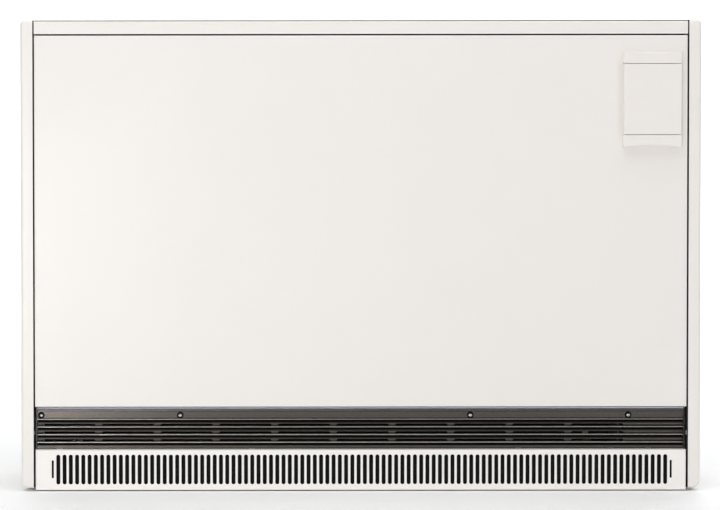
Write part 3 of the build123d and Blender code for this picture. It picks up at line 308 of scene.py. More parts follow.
# The return is a strip with a small clip notch low down. Each pair is a range along Y or Z.
return_y, notch_y = (-124.5, -105.0), (-117.0, -112.0)
return_z, notch_z = (4.6, 661.0), (78.5, 84.0)
return_strips = [((return_y[0], notch_y[0]), return_z), ((notch_y[1], return_y[1]), return_z),
                 (notch_y, (return_z[0], notch_z[0])), (notch_y, (notch_z[1], return_z[1]))]
for side, label in ((-1, "left"), (1, "right")):
    shell = tray((inner, -cabinet_deep, side_foot), (cabinet_half, cabinet_deep, cabinet_high), 0, 0,
                 outer_bends)
    for deep, high in return_strips:
        block(shell, (inner, deep[0], high[0]), (inner + sheet, deep[1], high[1]))
    if side < 0:
        bmesh.ops.scale(shell, vec=(-1, 1, 1), verts=shell.verts)
        bmesh.ops.reverse_faces(shell, faces=shell.faces)
    shown = piece(f"{label}_side_shell", shell, powder_white, "cabinet", [f"side_panel_{label}"])
    # The return behind the front flange takes the painted shade.
    paint_gap_shade(shown, lambda spot, normal: abs(spot.x) < inner + sheet + 0.01 and abs(normal.x) > 0.9)

# ---------------------------------------------------------------------------------------------------
# Top cover and front panel.
# Folded pans in the same white powder coat. The cover has a soft front bend; the panel's bends are tight.
# ---------------------------------------------------------------------------------------------------

span, cover_foot = inner - 2.0, 642.0
cover_bends = [(without(on_plane(2, 1), lambda p, q, box: abs(p[1] - q[1]) > 1), 5.0)]
cover = tray((-span, -cabinet_deep, cover_foot), (span, cabinet_deep, cabinet_high), 2, 0, cover_bends)


def inside_cover(spot, normal):
    """True for the cover's inner faces and for its ends, which face the side panels."""
    outer = (span, cabinet_deep, cabinet_high)
    within = all(abs(at) < edge - 0.9 * sheet for at, edge in zip(spot, outer))
    return within or abs(normal.x) > 0.9


shown = piece("top_cover_shell", cover, powder_white, "cabinet", ["top_cover"])
# The cover's inner faces and its ends beside the side panels take the painted shade.
paint_gap_shade(shown, inside_cover)


def slice_at(made, axis, places):
    """Splits faces along planes across one axis."""
    normal = [0, 0, 0]
    normal[axis] = 1
    for place in places:
        spot = [c * place for c in normal]
        bmesh.ops.bisect_plane(made, geom=made.verts[:] + made.edges[:] + made.faces[:], dist=0.0001,
                               plane_co=spot, plane_no=normal)


def open_window(made, x, z, y):
    """Removes both faces of the sheet inside a window, as far back as y."""
    slice_at(made, 0, x)
    slice_at(made, 2, z)
    gone = []
    for face in made.faces:
        middle = face.calc_center_median()
        if x[0] < middle.x < x[1] and z[0] < middle.z < z[1] and middle.y < y:
            gone.append(face)
    bmesh.ops.delete(made, geom=gone, context="FACES_ONLY")
    bmesh.ops.delete(made, geom=[e for e in made.edges if not e.link_faces], context="EDGES")


def close_cut(made, thickness):
    """Closes cut edges between two faces of sheet that lie one thickness apart along Y."""
    loose = [e for e in made.edges if e.is_boundary]
    spots = {tuple(round(c, 2) for c in v.co): v for e in loose for v in e.verts}
    for edge in loose:
        first, second = edge.verts
        moved = [v.co + Vector((0, thickness, 0)) for v in (second, first)]
        behind = [spots.get(tuple(round(c, 2) for c in place)) for place in moved]
        if all(behind):
            made.faces.new((first, second, *behind))


panel_z, panel_return, panel_bend = (119.0, 640.0), 18.0, 1.6
front = tray((-span, -cabinet_deep, panel_z[0]), (span, -cabinet_deep + panel_return, panel_z[1]), 1, 1,
             [(on_plane(1, 0), panel_bend)])
control_window_x, control_window_z = (371.6, 443.0), (503.4, 596.6)
open_window(front, control_window_x, control_window_z, -cabinet_deep + 1.5 * sheet)
close_cut(front, sheet)
shown = piece("front_panel_shell", front, powder_white, "cabinet", ["front_panel"])
# The panel's folded returns and window edges take the painted shade.
paint_gap_shade(shown, lambda spot, normal: spot.y > -cabinet_deep + 1.8 and abs(normal.y) < 0.1)

# ---------------------------------------------------------------------------------------------------
# Outlet frame.
# Rail and cheeks round the outlet from zinc-coated sheet, painted dark as painted shade. The rail's
# rolled bead is painted near white as a painted highlight, a thin bright hem under the front panel.
# ---------------------------------------------------------------------------------------------------

# Painted shade: the frame's zinc darkened to near black under the front panel's edge.
outlet_zinc_painted_shade = spangled("outlet_zinc_painted_shade", (0.10, 0.10, 0.125), (0.08, 0.08, 0.10), 0.006)
dress(outlet_zinc_painted_shade, "outlet_frame")
# Painted highlight: the bead's zinc made near white and diffuse.
bead_zinc_painted_highlight = finish("bead_zinc_painted_highlight", colour=(0.90, 0.90, 0.94), shade=(0.82, 0.82, 0.87),
                   roughness=(0.34, 0.46), grain_size=0.0009, relief=0.000012, metallic=0.35,
                   worn=(0.92, 0.92, 0.94), amount=0.3)


def extruded(made, outline, start, end):
    """A bar with the given outline in Y and Z, closed at both ends."""
    ends = [[made.verts.new((x, y, z)) for y, z in outline] for x in (start, end)]
    flat_points = [Vector((y, z, 0)) for y, z in outline]
    for verts in ends:
        for triangle in tessellate_polygon([flat_points]):
            made.faces.new([verts[i] for i in triangle])
    for n in range(len(outline)):
        following = (n + 1) % len(outline)
        made.faces.new((ends[0][n], ends[0][following], ends[1][following], ends[1][n]))


def half_round(y, z, deep, high):
    """The outline of a nose that bulges forward from one line, from its foot to its top."""
    angles = [math.pi * n / 12 for n in range(-6, 7)]
    return [(y - deep * math.cos(a), z + high * math.sin(a)) for a in angles]


outlet_half = 456.4
bead_y, bead_z, bead_deep, bead_high = -111.2, 116.3, 1.6, 1.0
bead = bmesh.new()
extruded(bead, half_round(bead_y, bead_z, bead_deep, bead_high), -outlet_half, outlet_half)
piece("outlet_bead", bead, bead_zinc_painted_highlight, "cabinet", ())

# ---------------------------------------------------------------------------------------------------
# Outlet louvre.
# Extruded aluminium, anodised dark bronze. Its flat faces are brushed lengthwise, the noses of its four
# lips carry a painted highlight, the faces behind the front strip are painted black as painted shade,
# and three rows of slots are milled through the blades, painted lighter as painted light.
# ---------------------------------------------------------------------------------------------------

bronze = finish("brushed_bronze", colour=(0.104, 0.092, 0.082), shade=(0.090, 0.081, 0.073),
                roughness=(0.16, 0.25), grain_size=0.00022, relief=0.000010, metallic=0.9,
                stretch=(0.02, 1, 1), patch=0.02, worn=(0.40, 0.37, 0.33), amount=0.5,
                edge_radius=0.0004)
# Painted highlight: a bright metal on the lip noses in place of the light they catch.
lip_painted_highlight = finish("lip_nose_painted_highlight", colour=(0.46, 0.43, 0.40), shade=(0.40, 0.38, 0.35),
                  roughness=(0.24, 0.34), grain_size=0.0002, relief=0.000006, metallic=1.0,
                  stretch=(0.02, 1, 1), patch=0.03)
# Painted shade: near black on the faces behind the front strip. It is also the washers' own black.
recess = finish("painted_shade_and_washer_black", colour=(0.007, 0.006, 0.006), shade=(0.005, 0.005, 0.005),
                roughness=(0.5, 0.65), grain_size=0.0005, relief=0.000010, stretch=(0.05, 1, 1),
                patch=0.02, worn=(0.06, 0.055, 0.05), amount=0.4, specular=0.08)
# Painted light: a lighter copy of the bronze on the blades, standing in for the light they get.
blade_painted_light = finish("blade_bronze_painted_light", colour=(0.19, 0.170, 0.155), shade=(0.165, 0.148, 0.135),
                    roughness=(0.30, 0.42), grain_size=0.00022, relief=0.000010, metallic=0.9,
                    stretch=(0.02, 1, 1), patch=0.02)


def rounded_outline(corners, radius, grow=0.0, steps=4):
    """A closed flat outline, pushed out by grow, with rounded corners. Its corners run anticlockwise."""
    count = len(corners)
    lines = []
    for n in range(count):
        a, b = Vector(corners[n]), Vector(corners[(n + 1) % count])
        run = (b - a).normalized()
        out = Vector((run.y, -run.x))
        lines.append((a + out * grow, run, out))
    points = []
    for n in range(count):
        (a, run_in, out_in), (b, run_out, out_out) = lines[n - 1], lines[n]
        turn = run_in.cross(run_out)
        corner = a + run_in * ((b - a).cross(run_out) / turn)
        bend = radius + grow
        reach = bend * math.tan(run_in.angle(run_out) / 2)
        centre = corner - run_in * reach - out_in * bend
        for step in range(steps + 1):
            away = out_in.slerp(out_out, step / steps)
            points.append(tuple(centre + away * bend))
    return points


def punched_cell(made, x, z, y, thickness, outline, lip):
    """A rectangle of sheet, with a hole if outline(grow) gives one. The hole's front edge is eased."""
    edge = [(x[0], z[0]), (x[1], z[0]), (x[1], z[1]), (x[0], z[1])]
    sheets = [[made.verts.new((px, level, pz)) for px, pz in edge] for level in (y, y + thickness)]
    if outline is None:
        for verts in sheets:
            made.faces.new(verts)
        return
    steps = ((lip, 0.0), (lip * 0.3, lip * 0.3), (0.0, lip), (0.0, thickness))
    rings = [[made.verts.new((px, y + deep, pz)) for px, pz in outline(grow)] for grow, deep in steps]
    for verts, ring in ((sheets[0], rings[0]), (sheets[1], rings[-1])):
        pool = verts + ring
        flat_points = [[Vector((v.co.x, v.co.z)).to_3d() for v in part] for part in (verts, ring)]
        for triangle in tessellate_polygon(flat_points):
            made.faces.new([pool[i] for i in triangle])
    for near, far in zip(rings, rings[1:]):
        for n in range(len(near)):
            following = (n + 1) % len(near)
            made.faces.new((near[n], near[following], far[following], far[n]))


louvre = bmesh.new()


def bar(corners, radius):
    """Adds a full-width bar to the louvre. Its corners are Y and Z, anticlockwise."""
    extruded(louvre, rounded_outline(corners, radius), -outlet_half, outlet_half)


# Both walls as ranges along Y: the flat strips in front, and the upright web behind the blades.
strip_y, web_y, foot_y = (-110.0, -108.6), (-102.6, -101.2), -106.6
top_strip_z, bottom_strip_z = (102.0, 111.0), (58.8, 62.9)
lip_half, lip_nose, top_lip, lip_pitch = 0.8, -112.2, 100.2, 10.9
lips = [top_lip - lip_pitch * n for n in range(4)]
# The screw strip with its foot, its top rib, and the rib that joins the foot to the top lip.
low, high = top_strip_z
bar([(strip_y[0], low), (foot_y, low), (foot_y, low + 0.75), (strip_y[1], low + 0.75), (strip_y[1], high),
     (strip_y[0], high)], 0.25)
bar([(-109.3, 110.6), (strip_y[1], 110.6), (strip_y[1], 112.3), (-109.3, 112.3)], 0.15)
bar([(-108.0, top_lip), (foot_y, top_lip), (foot_y, 102.6), (-108.0, 102.6)], 0.1)
# The bottom strip with its shelf, and the foot of the web on that shelf.
low, high = bottom_strip_z
bar([(strip_y[0], low), (strip_y[1], low), (strip_y[1], high - 1.5), (web_y[1], high - 1.5), (web_y[1], high),
     (strip_y[0], high)], 0.3)
bar([(web_y[0], 61.6), (web_y[1], 61.6), (web_y[1], 67.5), (web_y[0], 67.5)], 0.1)
for z in lips:
    lip = half_round(lip_nose, z, lip_half, lip_half) + [(web_y[1], z + lip_half), (web_y[1], z - lip_half)]
    extruded(louvre, lip, -outlet_half, outlet_half)

slot_count, slot_spacing, slot_foot, slot_top, blade_lean = 10, 83.0, 37.5, 35.5, 0.244
blade_y, blade_sheet, blade_rise = -107.4, 1.3, (0.7, 4.6)
slot_middles = [-411.5 + slot_spacing * n for n in range(slot_count)]
columns = [-outlet_half] + [x + slot_spacing / 2 for x in slot_middles] + [outlet_half]


def blade_slot(x, z):
    """The outline of one slot, wider at its foot, which can be pushed out by a distance."""
    corners = [(x - slot_foot, z + 1.0), (x + slot_foot, z + 1.0), (x + slot_top, z + 4.0),
               (x - slot_top, z + 4.0)]
    return lambda grow: rounded_outline(corners, 0.5, grow)


for z in lips[1:]:
    # The web between two lips, and the ledge that joins it to the top of the blade.
    foot, top = z + 5.3, z + lip_pitch
    bar([(web_y[0], foot), (web_y[1], foot), (web_y[1], top), (web_y[0], top)], 0.1)
    bar([(-108.3, z + 4.4), (-107.0, z + 4.4), (-106.2, z + 5.2), (-101.6, z + 5.2), (-101.6, z + 6.4),
         (-107.8, z + 6.4)], 0.25)
    blade = bmesh.new()
    holes = [blade_slot(x, z) for x in slot_middles] + [None]
    for start, end, hole in zip(columns, columns[1:], holes):
        punched_cell(blade, (start, end), (z + blade_rise[0], z + blade_rise[1]), blade_y, blade_sheet,
                     hole, 0.2)
    rims = {v for e in blade.edges if e.is_boundary for v in e.verts}
    bmesh.ops.remove_doubles(blade, verts=list(rims), dist=0.0005)
    close_cut(blade, blade_sheet)
    for vert in blade.verts:
        vert.co.y -= (vert.co.z - z - blade_rise[0]) * blade_lean
    add_mesh(louvre, blade)
louvre_bar = piece("outlet_louvre_bar", louvre, bronze, "cabinet", ["outlet_louvre"], 40)
for extra in (lip_painted_highlight, recess, blade_painted_light):
    louvre_bar.data.materials.append(extra)
# Material 1: painted highlight on noses; 2: painted shade behind the strip; 3: painted light on blades.
for face in louvre_bar.data.polygons:
    y = face.center.y / MM
    from_blade = min(abs(face.center.z / MM - z - 2.4) for z in lips[1:])
    if y < lip_nose - 0.1:
        face.material_index = 1
    elif y > strip_y[0] + 0.6 and not (face.normal.y < -0.9 and y < -107.0):
        face.material_index = 2
    elif y > strip_y[0] + 0.6 and from_blade < 2.3:
        face.material_index = 3

# ---------------------------------------------------------------------------------------------------
# Louvre screws and washers.
# Zinc-plated raised-head steel screws with a cross recess, each on a thin black washer.
# ---------------------------------------------------------------------------------------------------

plated = finish("zinc_plate", colour=(0.66, 0.66, 0.66), shade=(0.55, 0.56, 0.56),
                roughness=(0.10, 0.20), grain_size=0.0004, relief=0.000006, metallic=1.0, patch=0.004,
                worn=(0.85, 0.84, 0.80), amount=0.5, edge_radius=0.0003)


def turned(profile, steps=40):
    """A closed solid turned about Y. The profile is (radius, y), from the nose to the tail."""
    made = bmesh.new()
    rings = []
    for radius, y in profile:
        if radius < 1e-6:
            rings.append([made.verts.new((0, y, 0))])
        else:
            angles = [math.tau * n / steps for n in range(steps)]
            rings.append([made.verts.new((radius * math.cos(a), y, radius * math.sin(a))) for a in angles])
    for near, far in zip(rings, rings[1:]):
        for n in range(steps):
            following = (n + 1) % steps
            front_edge = [near[n % len(near)], near[following % len(near)]]
            rear_edge = [far[following % len(far)], far[n % len(far)]]
            made.faces.new(list(dict.fromkeys(front_edge + rear_edge)))
    return made


def cross_screw(head, rise, shank, length, wing):
    """One screw along +Y, with the crown of its head at y = -rise and a tapered cross recess in it."""
    arc = [(head * math.sin(a), -rise * math.cos(a)) for a in [math.pi / 2 * n / 9 for n in range(10)]]
    crown = [(r, y if r < head * 0.93 else max(y, -rise * 0.36)) for r, y in arc]
    stem = [(head, 0.0), (shank, 0.0), (shank, length - 1), (shank * 0.6, length), (0, length)]
    body = turned(crown + stem)
    bmesh.ops.recalc_face_normals(body, faces=body.faces)
    meshes = []
    cutter = bmesh.new()
    for wide, thin in ((wing, 0.5), (0.5, wing)):
        part = bmesh.new()
        bmesh.ops.create_cube(part, size=2.0)
        for vert in part.verts:
            at_tip = vert.co.y > 0
            taper, deep = (0.45, -0.35 * rise) if at_tip else (1.15, -rise - 1)
            vert.co = Vector((vert.co.x * wide * taper, deep, vert.co.z * thin * taper))
        add_mesh(cutter, part)
    for label, part in (("screw_body", body), ("screw_cutter", cutter)):
        mesh = bpy.data.meshes.new(label)
        part.to_mesh(mesh)
        part.free()
        meshes.append(link(bpy.data.objects.new(label, mesh)))
    cut = meshes[0].modifiers.new("recess", "BOOLEAN")
    cut.operation, cut.object, cut.solver, cut.use_self = "DIFFERENCE", meshes[1], "EXACT", True
    bpy.context.view_layer.update()
    result = bpy.data.meshes.new_from_object(meshes[0].evaluated_get(bpy.context.evaluated_depsgraph_get()))
    for spare in meshes:
        data = spare.data
        bpy.data.objects.remove(spare)
        bpy.data.meshes.remove(data)
    return result


def placed(target, mesh, place, turn, flip=False):
    """Adds a turned and moved copy of a mesh. flip points it the other way along Y."""
    part = bmesh.new()
    part.from_mesh(mesh)
    cos, sin = math.cos(turn), math.sin(turn)
    for vert in part.verts:
        x, y, z = vert.co
        if flip:
            x, y = -x, -y
        vert.co = Vector((x * cos - z * sin + place[0], y + place[1], x * sin + z * cos + place[2]))
    add_mesh(target, part)


louvre_screw = cross_screw(3.0, 2.2, 2.0, 8.5, 1.9)
heads, washers = bmesh.new(), bmesh.new()
washer = turned([(2.2, 0.0), (4.6, 0.0), (4.8, 0.12), (4.8, 0.48), (2.2, 0.48), (2.2, 0.0)], 48)
washer_mesh = bpy.data.meshes.new("washer")
washer.to_mesh(washer_mesh)
washer.free()
seat_y, seat_z = -110.5, 105.9
for x, turn in ((-451.0, 0.3), (-254.5, 1.1), (155.6, 0.75), (378.7, 0.1)):
    placed(heads, louvre_screw, (x, seat_y, seat_z), turn)
    placed(washers, washer_mesh, (x, seat_y, seat_z), 0)
piece("louvre_screw_set", heads, plated, "cabinet", ["louvre_screws"])
piece("louvre_washer_set", washers, recess, "cabinet", ["louvre_washers"])

# ---------------------------------------------------------------------------------------------------
# Inlet grille.
# A white powder-coated steel pan with 98 punched upright slots and a narrow one at each end; its white is
# painted lighter than the cabinet's as painted light. Spring clips of bright strip hold it under the
# louvre.
# ---------------------------------------------------------------------------------------------------

grille_half, grille_z, grille_deep, grille_bend = 457.6, (1.5, 58.2), 14.0, 2.5
slot_pitch, slot_field, field_half, end_slot = 8.8, 1.4, 439.0, 434.6
grille_y = (-cabinet_deep, -cabinet_deep + grille_deep)
grille = tray((-grille_half, grille_y[0], grille_z[0]), (grille_half, grille_y[1], grille_z[1]), 1, 1,
              [(on_plane(1, 0), grille_bend)])
slots_across, slot_z, slot_size, end_slot_z, end_slot_size = 98, 30.8, (5.5, 42.0), 31.2, (2.9, 25.4)
slots = [slot_field + slot_pitch * (n - (slots_across - 1) / 2) for n in range(slots_across)]
borders = [x - slot_pitch / 2 for x in slots] + [slots[-1] + slot_pitch / 2]
borders = [slot_field - field_half] + borders + [slot_field + field_half]
slice_at(grille, 0, borders)
flat_x = (-grille_half + grille_bend, grille_half - grille_bend)
flat_z = (grille_z[0] + grille_bend, grille_z[1] - grille_bend)


def stadium(x, z, width, length, grow=0.0, steps=9):
    """The outline of an upright slot with round ends."""
    radius = width / 2 + grow
    straight = (length - width) / 2
    points = []
    for end, start in ((1, 0.0), (-1, math.pi)):
        for step in range(steps + 1):
            angle = start + math.pi * step / steps
            points.append((x + radius * math.cos(angle), z + end * straight + radius * math.sin(angle)))
    return points


def on_flat(face):
    """True for both faces of the grille's flat front, inside its bends."""
    middle = face.calc_center_median()
    level = abs(face.normal.y) > 0.999 and middle.y < -cabinet_deep + 1.1
    return level and flat_x[0] < middle.x < flat_x[1] and flat_z[0] < middle.z < flat_z[1]


bmesh.ops.delete(grille, geom=[face for face in grille.faces if on_flat(face)], context="FACES")
edges = [flat_x[0]] + borders + [flat_x[1]]
for left, right in zip(edges, edges[1:]):
    middle, hole = (left + right) / 2, None
    from_field = middle - slot_field
    if abs(right - left - slot_pitch) < 0.01:
        hole = lambda grow, x=middle: stadium(x, slot_z, *slot_size, grow)
    elif abs(abs(from_field) - end_slot) < 2:
        end_x = slot_field + math.copysign(end_slot, from_field)
        hole = lambda grow, x=end_x: stadium(x, end_slot_z, *end_slot_size, grow)
    punched_cell(grille, (left, right), flat_z, -cabinet_deep, sheet, hole, 0.35)
# Painted light: the cabinet's powder coat made lighter on the grille.
grille_white_painted_light = finish("grille_powder_painted_light", colour=(0.930, 0.896, 0.858), shade=(0.920, 0.886, 0.850),
                      roughness=(0.36, 0.46), grain_size=0.0016, relief=0.000018, patch=0.25,
                      worn=(0.93, 0.92, 0.90), amount=0.35, edge_radius=0.0008, coat=0.12)
piece("inlet_grille_pan", grille, grille_white_painted_light, "inlet_grille", ["inlet_grille"])

spring_strip = finish("spring_strip", colour=(0.80, 0.80, 0.80), shade=(0.72, 0.73, 0.74),
                      roughness=(0.3, 0.44), grain_size=0.0004, relief=0.000006, metallic=0.7,
                      stretch=(1, 0.05, 0.05), worn=(0.85, 0.85, 0.85), amount=0.5, soft_edge=0.0002)
dress(spring_strip, "inlet_clips")

# ---------------------------------------------------------------------------------------------------
# Lint filter.
# A black moulded frame with a woven plastic mesh in its groove, clipped behind the inlet grille.
# ---------------------------------------------------------------------------------------------------

weave, weave_in, weave_out = new_group("Plain weave", {"Pitch": 0.0009}, ("Height", "Thread"))
here = node(weave, "ShaderNodeTexCoord").outputs["Object"]
turns = node(weave, "ShaderNodeMath", {0: math.pi, 1: weave_in["Pitch"]}, operation="DIVIDE").outputs[0]
axes = node(weave, "ShaderNodeSeparateXYZ", {0: here}).outputs
waves = []
for axis in (0, 2):
    phase = times(weave, axes[axis], turns)
    wave = node(weave, "ShaderNodeMath", {0: phase}, operation="SINE").outputs[0]
    waves.append(node(weave, "ShaderNodeMath", {0: wave}, operation="ABSOLUTE").outputs[0])
over = node(weave, "ShaderNodeMath", {0: waves[0], 1: waves[1]}, operation="MAXIMUM").outputs[0]
under = node(weave, "ShaderNodeMath", {0: waves[0], 1: waves[1]}, operation="MINIMUM").outputs[0]
weave.links.new(over, weave_out["Height"])
weave.links.new(remap(weave, under, 0.0, 1.0, 0.2, 0.8), weave_out["Thread"])
lint_mesh = finish("lint_mesh", colour=(0.006, 0.006, 0.006), shade=(0.009, 0.009, 0.009),
                   roughness=(0.6, 0.8), grain_size=0.0006, relief=0.00001, patch=0.03, specular=0.08)
threads = use_group(lint_mesh.node_tree, weave, Pitch=0.0011)
mesh_shader = lint_mesh.node_tree.nodes["Principled BSDF"]
dark = mesh_shader.inputs["Base Color"].links[0].from_socket
woven = mix_colour(lint_mesh.node_tree, threads["Thread"], (0.014, 0.014, 0.015, 1), dark)
lint_mesh.node_tree.links.new(woven, mesh_shader.inputs["Base Color"])
raised = node(lint_mesh.node_tree, "ShaderNodeBump", {"Height": threads["Height"], "Distance": 0.0003})
lint_mesh.node_tree.links.new(raised.outputs[0], mesh_shader.inputs["Normal"])
dress(lint_mesh, "filter_mesh")
filter_black = finish("filter_black", colour=(0.008, 0.008, 0.008), shade=(0.012, 0.012, 0.012),
                      roughness=(0.5, 0.65), grain_size=0.0006, relief=0.00001, worn=(0.05, 0.05, 0.05),
                      amount=0.4, specular=0.12, soft_edge=0.0003)
dress(filter_black, "filter_frame")

# ---------------------------------------------------------------------------------------------------
# Air divider, damper and bimetal coil.
# Sheet in black stove enamel with a flap on a steel shaft; a rolled bimetal spiral opens it as the air
# warms.
# ---------------------------------------------------------------------------------------------------

ground_steel = finish("ground_steel", colour=(0.60, 0.60, 0.61), shade=(0.52, 0.52, 0.53),
                      roughness=(0.2, 0.36), grain_size=0.0003, relief=0.000004, metallic=1.0,
                      stretch=(0.1, 1, 1), worn=(0.8, 0.8, 0.8), amount=0.4)
bimetal = finish("bimetal", colour=(0.50, 0.42, 0.33), shade=(0.42, 0.37, 0.33), roughness=(0.28, 0.42),
                 grain_size=0.0004, relief=0.000006, metallic=1.0, stretch=(0.1, 1, 1), patch=0.01,
                 worn=(0.7, 0.62, 0.5), amount=0.5)
stove_black = finish("stove_black", colour=(0.012, 0.012, 0.012), shade=(0.018, 0.017, 0.016),
                     roughness=(0.6, 0.8), grain_size=0.0008, relief=0.00002, patch=0.03,
                     worn=(0.10, 0.10, 0.10), amount=0.4, specular=0.2, soft_edge=0.0003)
dress(stove_black, "air_divider", "damper_flap")
dress(ground_steel, "damper_shaft", "fan_shafts", "lid_pins")
dress(bimetal, "bimetal_coil")

# ---------------------------------------------------------------------------------------------------
# Fans and motor.
# Aluminium cross-flow rotors in bent zinc-coated scrolls, on rubber-mounted bearings. A shaded-pole
# motor with a stamped steel stack, a taped winding and die-cast bridges stands between them.
# ---------------------------------------------------------------------------------------------------

rotor_alloy = finish("rotor_aluminium", colour=(0.76, 0.77, 0.78), shade=(0.68, 0.69, 0.71),
                     roughness=(0.28, 0.44), grain_size=0.0005, relief=0.00001, metallic=1.0,
                     stretch=(0.06, 1, 1), worn=(0.9, 0.9, 0.9), amount=0.4)
bearing_rubber = finish("bearing_rubber", colour=(0.02, 0.02, 0.02), shade=(0.03, 0.03, 0.03),
                        roughness=(0.6, 0.8), grain_size=0.0006, relief=0.00002,
                        worn=(0.07, 0.07, 0.07), amount=0.4)
cast_alloy = finish("die_cast", colour=(0.50, 0.51, 0.52), shade=(0.43, 0.44, 0.45),
                    roughness=(0.4, 0.6), grain_size=0.0007, relief=0.00003, metallic=0.9,
                    worn=(0.7, 0.7, 0.7), amount=0.6, soft_edge=0.0004)
stack_steel = finish("stamped_stack", colour=(0.14, 0.14, 0.15), shade=(0.11, 0.10, 0.10),
                     roughness=(0.4, 0.6), grain_size=0.0005, relief=0.00008, metallic=0.7,
                     stretch=(1, 0.02, 0.02), patch=0.02, worn=(0.4, 0.38, 0.36), amount=0.5)
winding_tape = finish("winding_tape", colour=(0.55, 0.36, 0.07), shade=(0.42, 0.25, 0.05),
                      roughness=(0.22, 0.4), grain_size=0.0009, relief=0.00012, stretch=(0.05, 0.05, 1),
                      patch=0.006, worn=(0.7, 0.55, 0.25), amount=0.4)
dress(zinc_sheet, "fan_scrolls", "motor_mount")
dress(rotor_alloy, "impeller_left", "impeller_right")
dress(bearing_rubber, "fan_bearings")
dress(cast_alloy, "motor_bridges")
dress(stack_steel, "motor_stator", "motor_rotor")
dress(winding_tape, "motor_coil")

# ---------------------------------------------------------------------------------------------------
# Core: bricks, elements and their deck.
# Pressed magnetite bricks, speckled and chipped at the edges, with hairpin elements in steel sheaths
# tinted by heat, ceramic bushes, and a deck of black-enamelled plate.
# ---------------------------------------------------------------------------------------------------

brick_grit = finish("core_brick", colour=(0.105, 0.088, 0.080), shade=(0.060, 0.052, 0.050),
                    roughness=(0.7, 0.95), grain_size=0.0018, relief=0.0004, patch=0.008,
                    worn=(0.20, 0.165, 0.14), amount=0.8, edge_radius=0.0015)
sheath = finish("heated_sheath", colour=(0.30, 0.26, 0.23), shade=(0.17, 0.17, 0.20),
                roughness=(0.35, 0.55), grain_size=0.0008, relief=0.00002, metallic=0.85, patch=0.03,
                worn=(0.5, 0.45, 0.4), amount=0.3)
bush_ceramic = finish("bush_ceramic", colour=(0.80, 0.76, 0.68), shade=(0.74, 0.70, 0.62),
                      roughness=(0.5, 0.7), grain_size=0.0006, relief=0.00002, worn=(0.86, 0.84, 0.78),
                      amount=0.4, soft_edge=0.0004)
dress(brick_grit, "brick_stack_1", "brick_stack_2", "brick_stack_3", "brick_stack_4")
dress(sheath, "heating_elements", "core_sensor")
dress(bush_ceramic, "element_bushes")
dress(stove_black, "core_support")

# ---------------------------------------------------------------------------------------------------
# Insulation.
# Microporous board in a woven glass skin, cut to size and wedged between the core and the cabinet.
# ---------------------------------------------------------------------------------------------------

board_skin = finish("glass_skin", colour=(0.62, 0.57, 0.48), shade=(0.54, 0.49, 0.41),
                    roughness=(0.75, 0.95), grain_size=0.0012, relief=0.00008, patch=0.04,
                    worn=(0.70, 0.66, 0.58), amount=0.4, edge_radius=0.0012)
skin_tree = board_skin.node_tree
skin_shader = skin_tree.nodes["Principled BSDF"]
cloth = use_group(skin_tree, weave, Pitch=0.0016)
plain = skin_shader.inputs["Base Color"].links[0].from_socket
glass_tone = mix_colour(skin_tree, times(skin_tree, cloth["Thread"], 0.5), (0.44, 0.40, 0.33, 1), plain)
skin_tree.links.new(glass_tone, skin_shader.inputs["Base Color"])
cloth_relief = node(skin_tree, "ShaderNodeBump", {"Height": cloth["Height"], "Distance": 0.0002})
skin_tree.links.new(cloth_relief.outputs[0], skin_shader.inputs["Normal"])
dress(board_skin, "insulation_front", "insulation_rear", "insulation_ends", "insulation_top",
      "insulation_floor")

# ---------------------------------------------------------------------------------------------------
# Switch compartment.
# A zinc-coated partition carries the grey terminal block, the charge controller's board on its black
# tray, the phenolic limiter with a red button, and the silicone leads. The gland is grey nylon.
# ---------------------------------------------------------------------------------------------------

grey_moulding = finish("grey_moulding", colour=(0.42, 0.43, 0.44), shade=(0.37, 0.38, 0.39),
                       roughness=(0.4, 0.55), grain_size=0.0005, relief=0.000012,
                       worn=(0.58, 0.58, 0.58), amount=0.4, soft_edge=0.0004)
black_moulding = finish("black_moulding", colour=(0.022, 0.022, 0.024), shade=(0.03, 0.03, 0.032),
                        roughness=(0.42, 0.6), grain_size=0.0005, relief=0.00001,
                        worn=(0.09, 0.09, 0.09), amount=0.4, soft_edge=0.0003)
turned_brass = finish("turned_brass", colour=(0.72, 0.53, 0.24), shade=(0.62, 0.44, 0.19),
                      roughness=(0.2, 0.34), grain_size=0.0003, relief=0.000005, metallic=1.0,
                      worn=(0.85, 0.7, 0.4), amount=0.4)
board_mask = finish("circuit_board", colour=(0.028, 0.16, 0.07), shade=(0.02, 0.12, 0.055),
                    roughness=(0.22, 0.36), grain_size=0.0006, relief=0.000006, patch=0.01,
                    worn=(0.5, 0.48, 0.35), amount=0.6, coat=0.3)
board_tree = board_mask.node_tree
place = node(board_tree, "ShaderNodeTexCoord").outputs["Object"]
side_on = node(board_tree, "ShaderNodeMapping", {"Vector": place, "Rotation": (0, math.pi / 2, 0)}).outputs[0]
layout = {"Vector": side_on, "Scale": 30.0, "Mortar Size": 0.018}
tracks = node(board_tree, "ShaderNodeTexBrick", layout).outputs["Fac"]
board_shader = board_tree.nodes["Principled BSDF"]
mask_green = board_shader.inputs["Base Color"].links[0].from_socket
tracked = mix_colour(board_tree, tracks, mask_green, (0.08, 0.30, 0.13, 1))
board_tree.links.new(tracked, board_shader.inputs["Base Color"])
phenolic = finish("phenolic", colour=(0.055, 0.032, 0.022), shade=(0.04, 0.024, 0.018),
                  roughness=(0.16, 0.3), grain_size=0.0006, relief=0.000006, worn=(0.16, 0.1, 0.07),
                  amount=0.4, coat=0.3, soft_edge=0.0004)
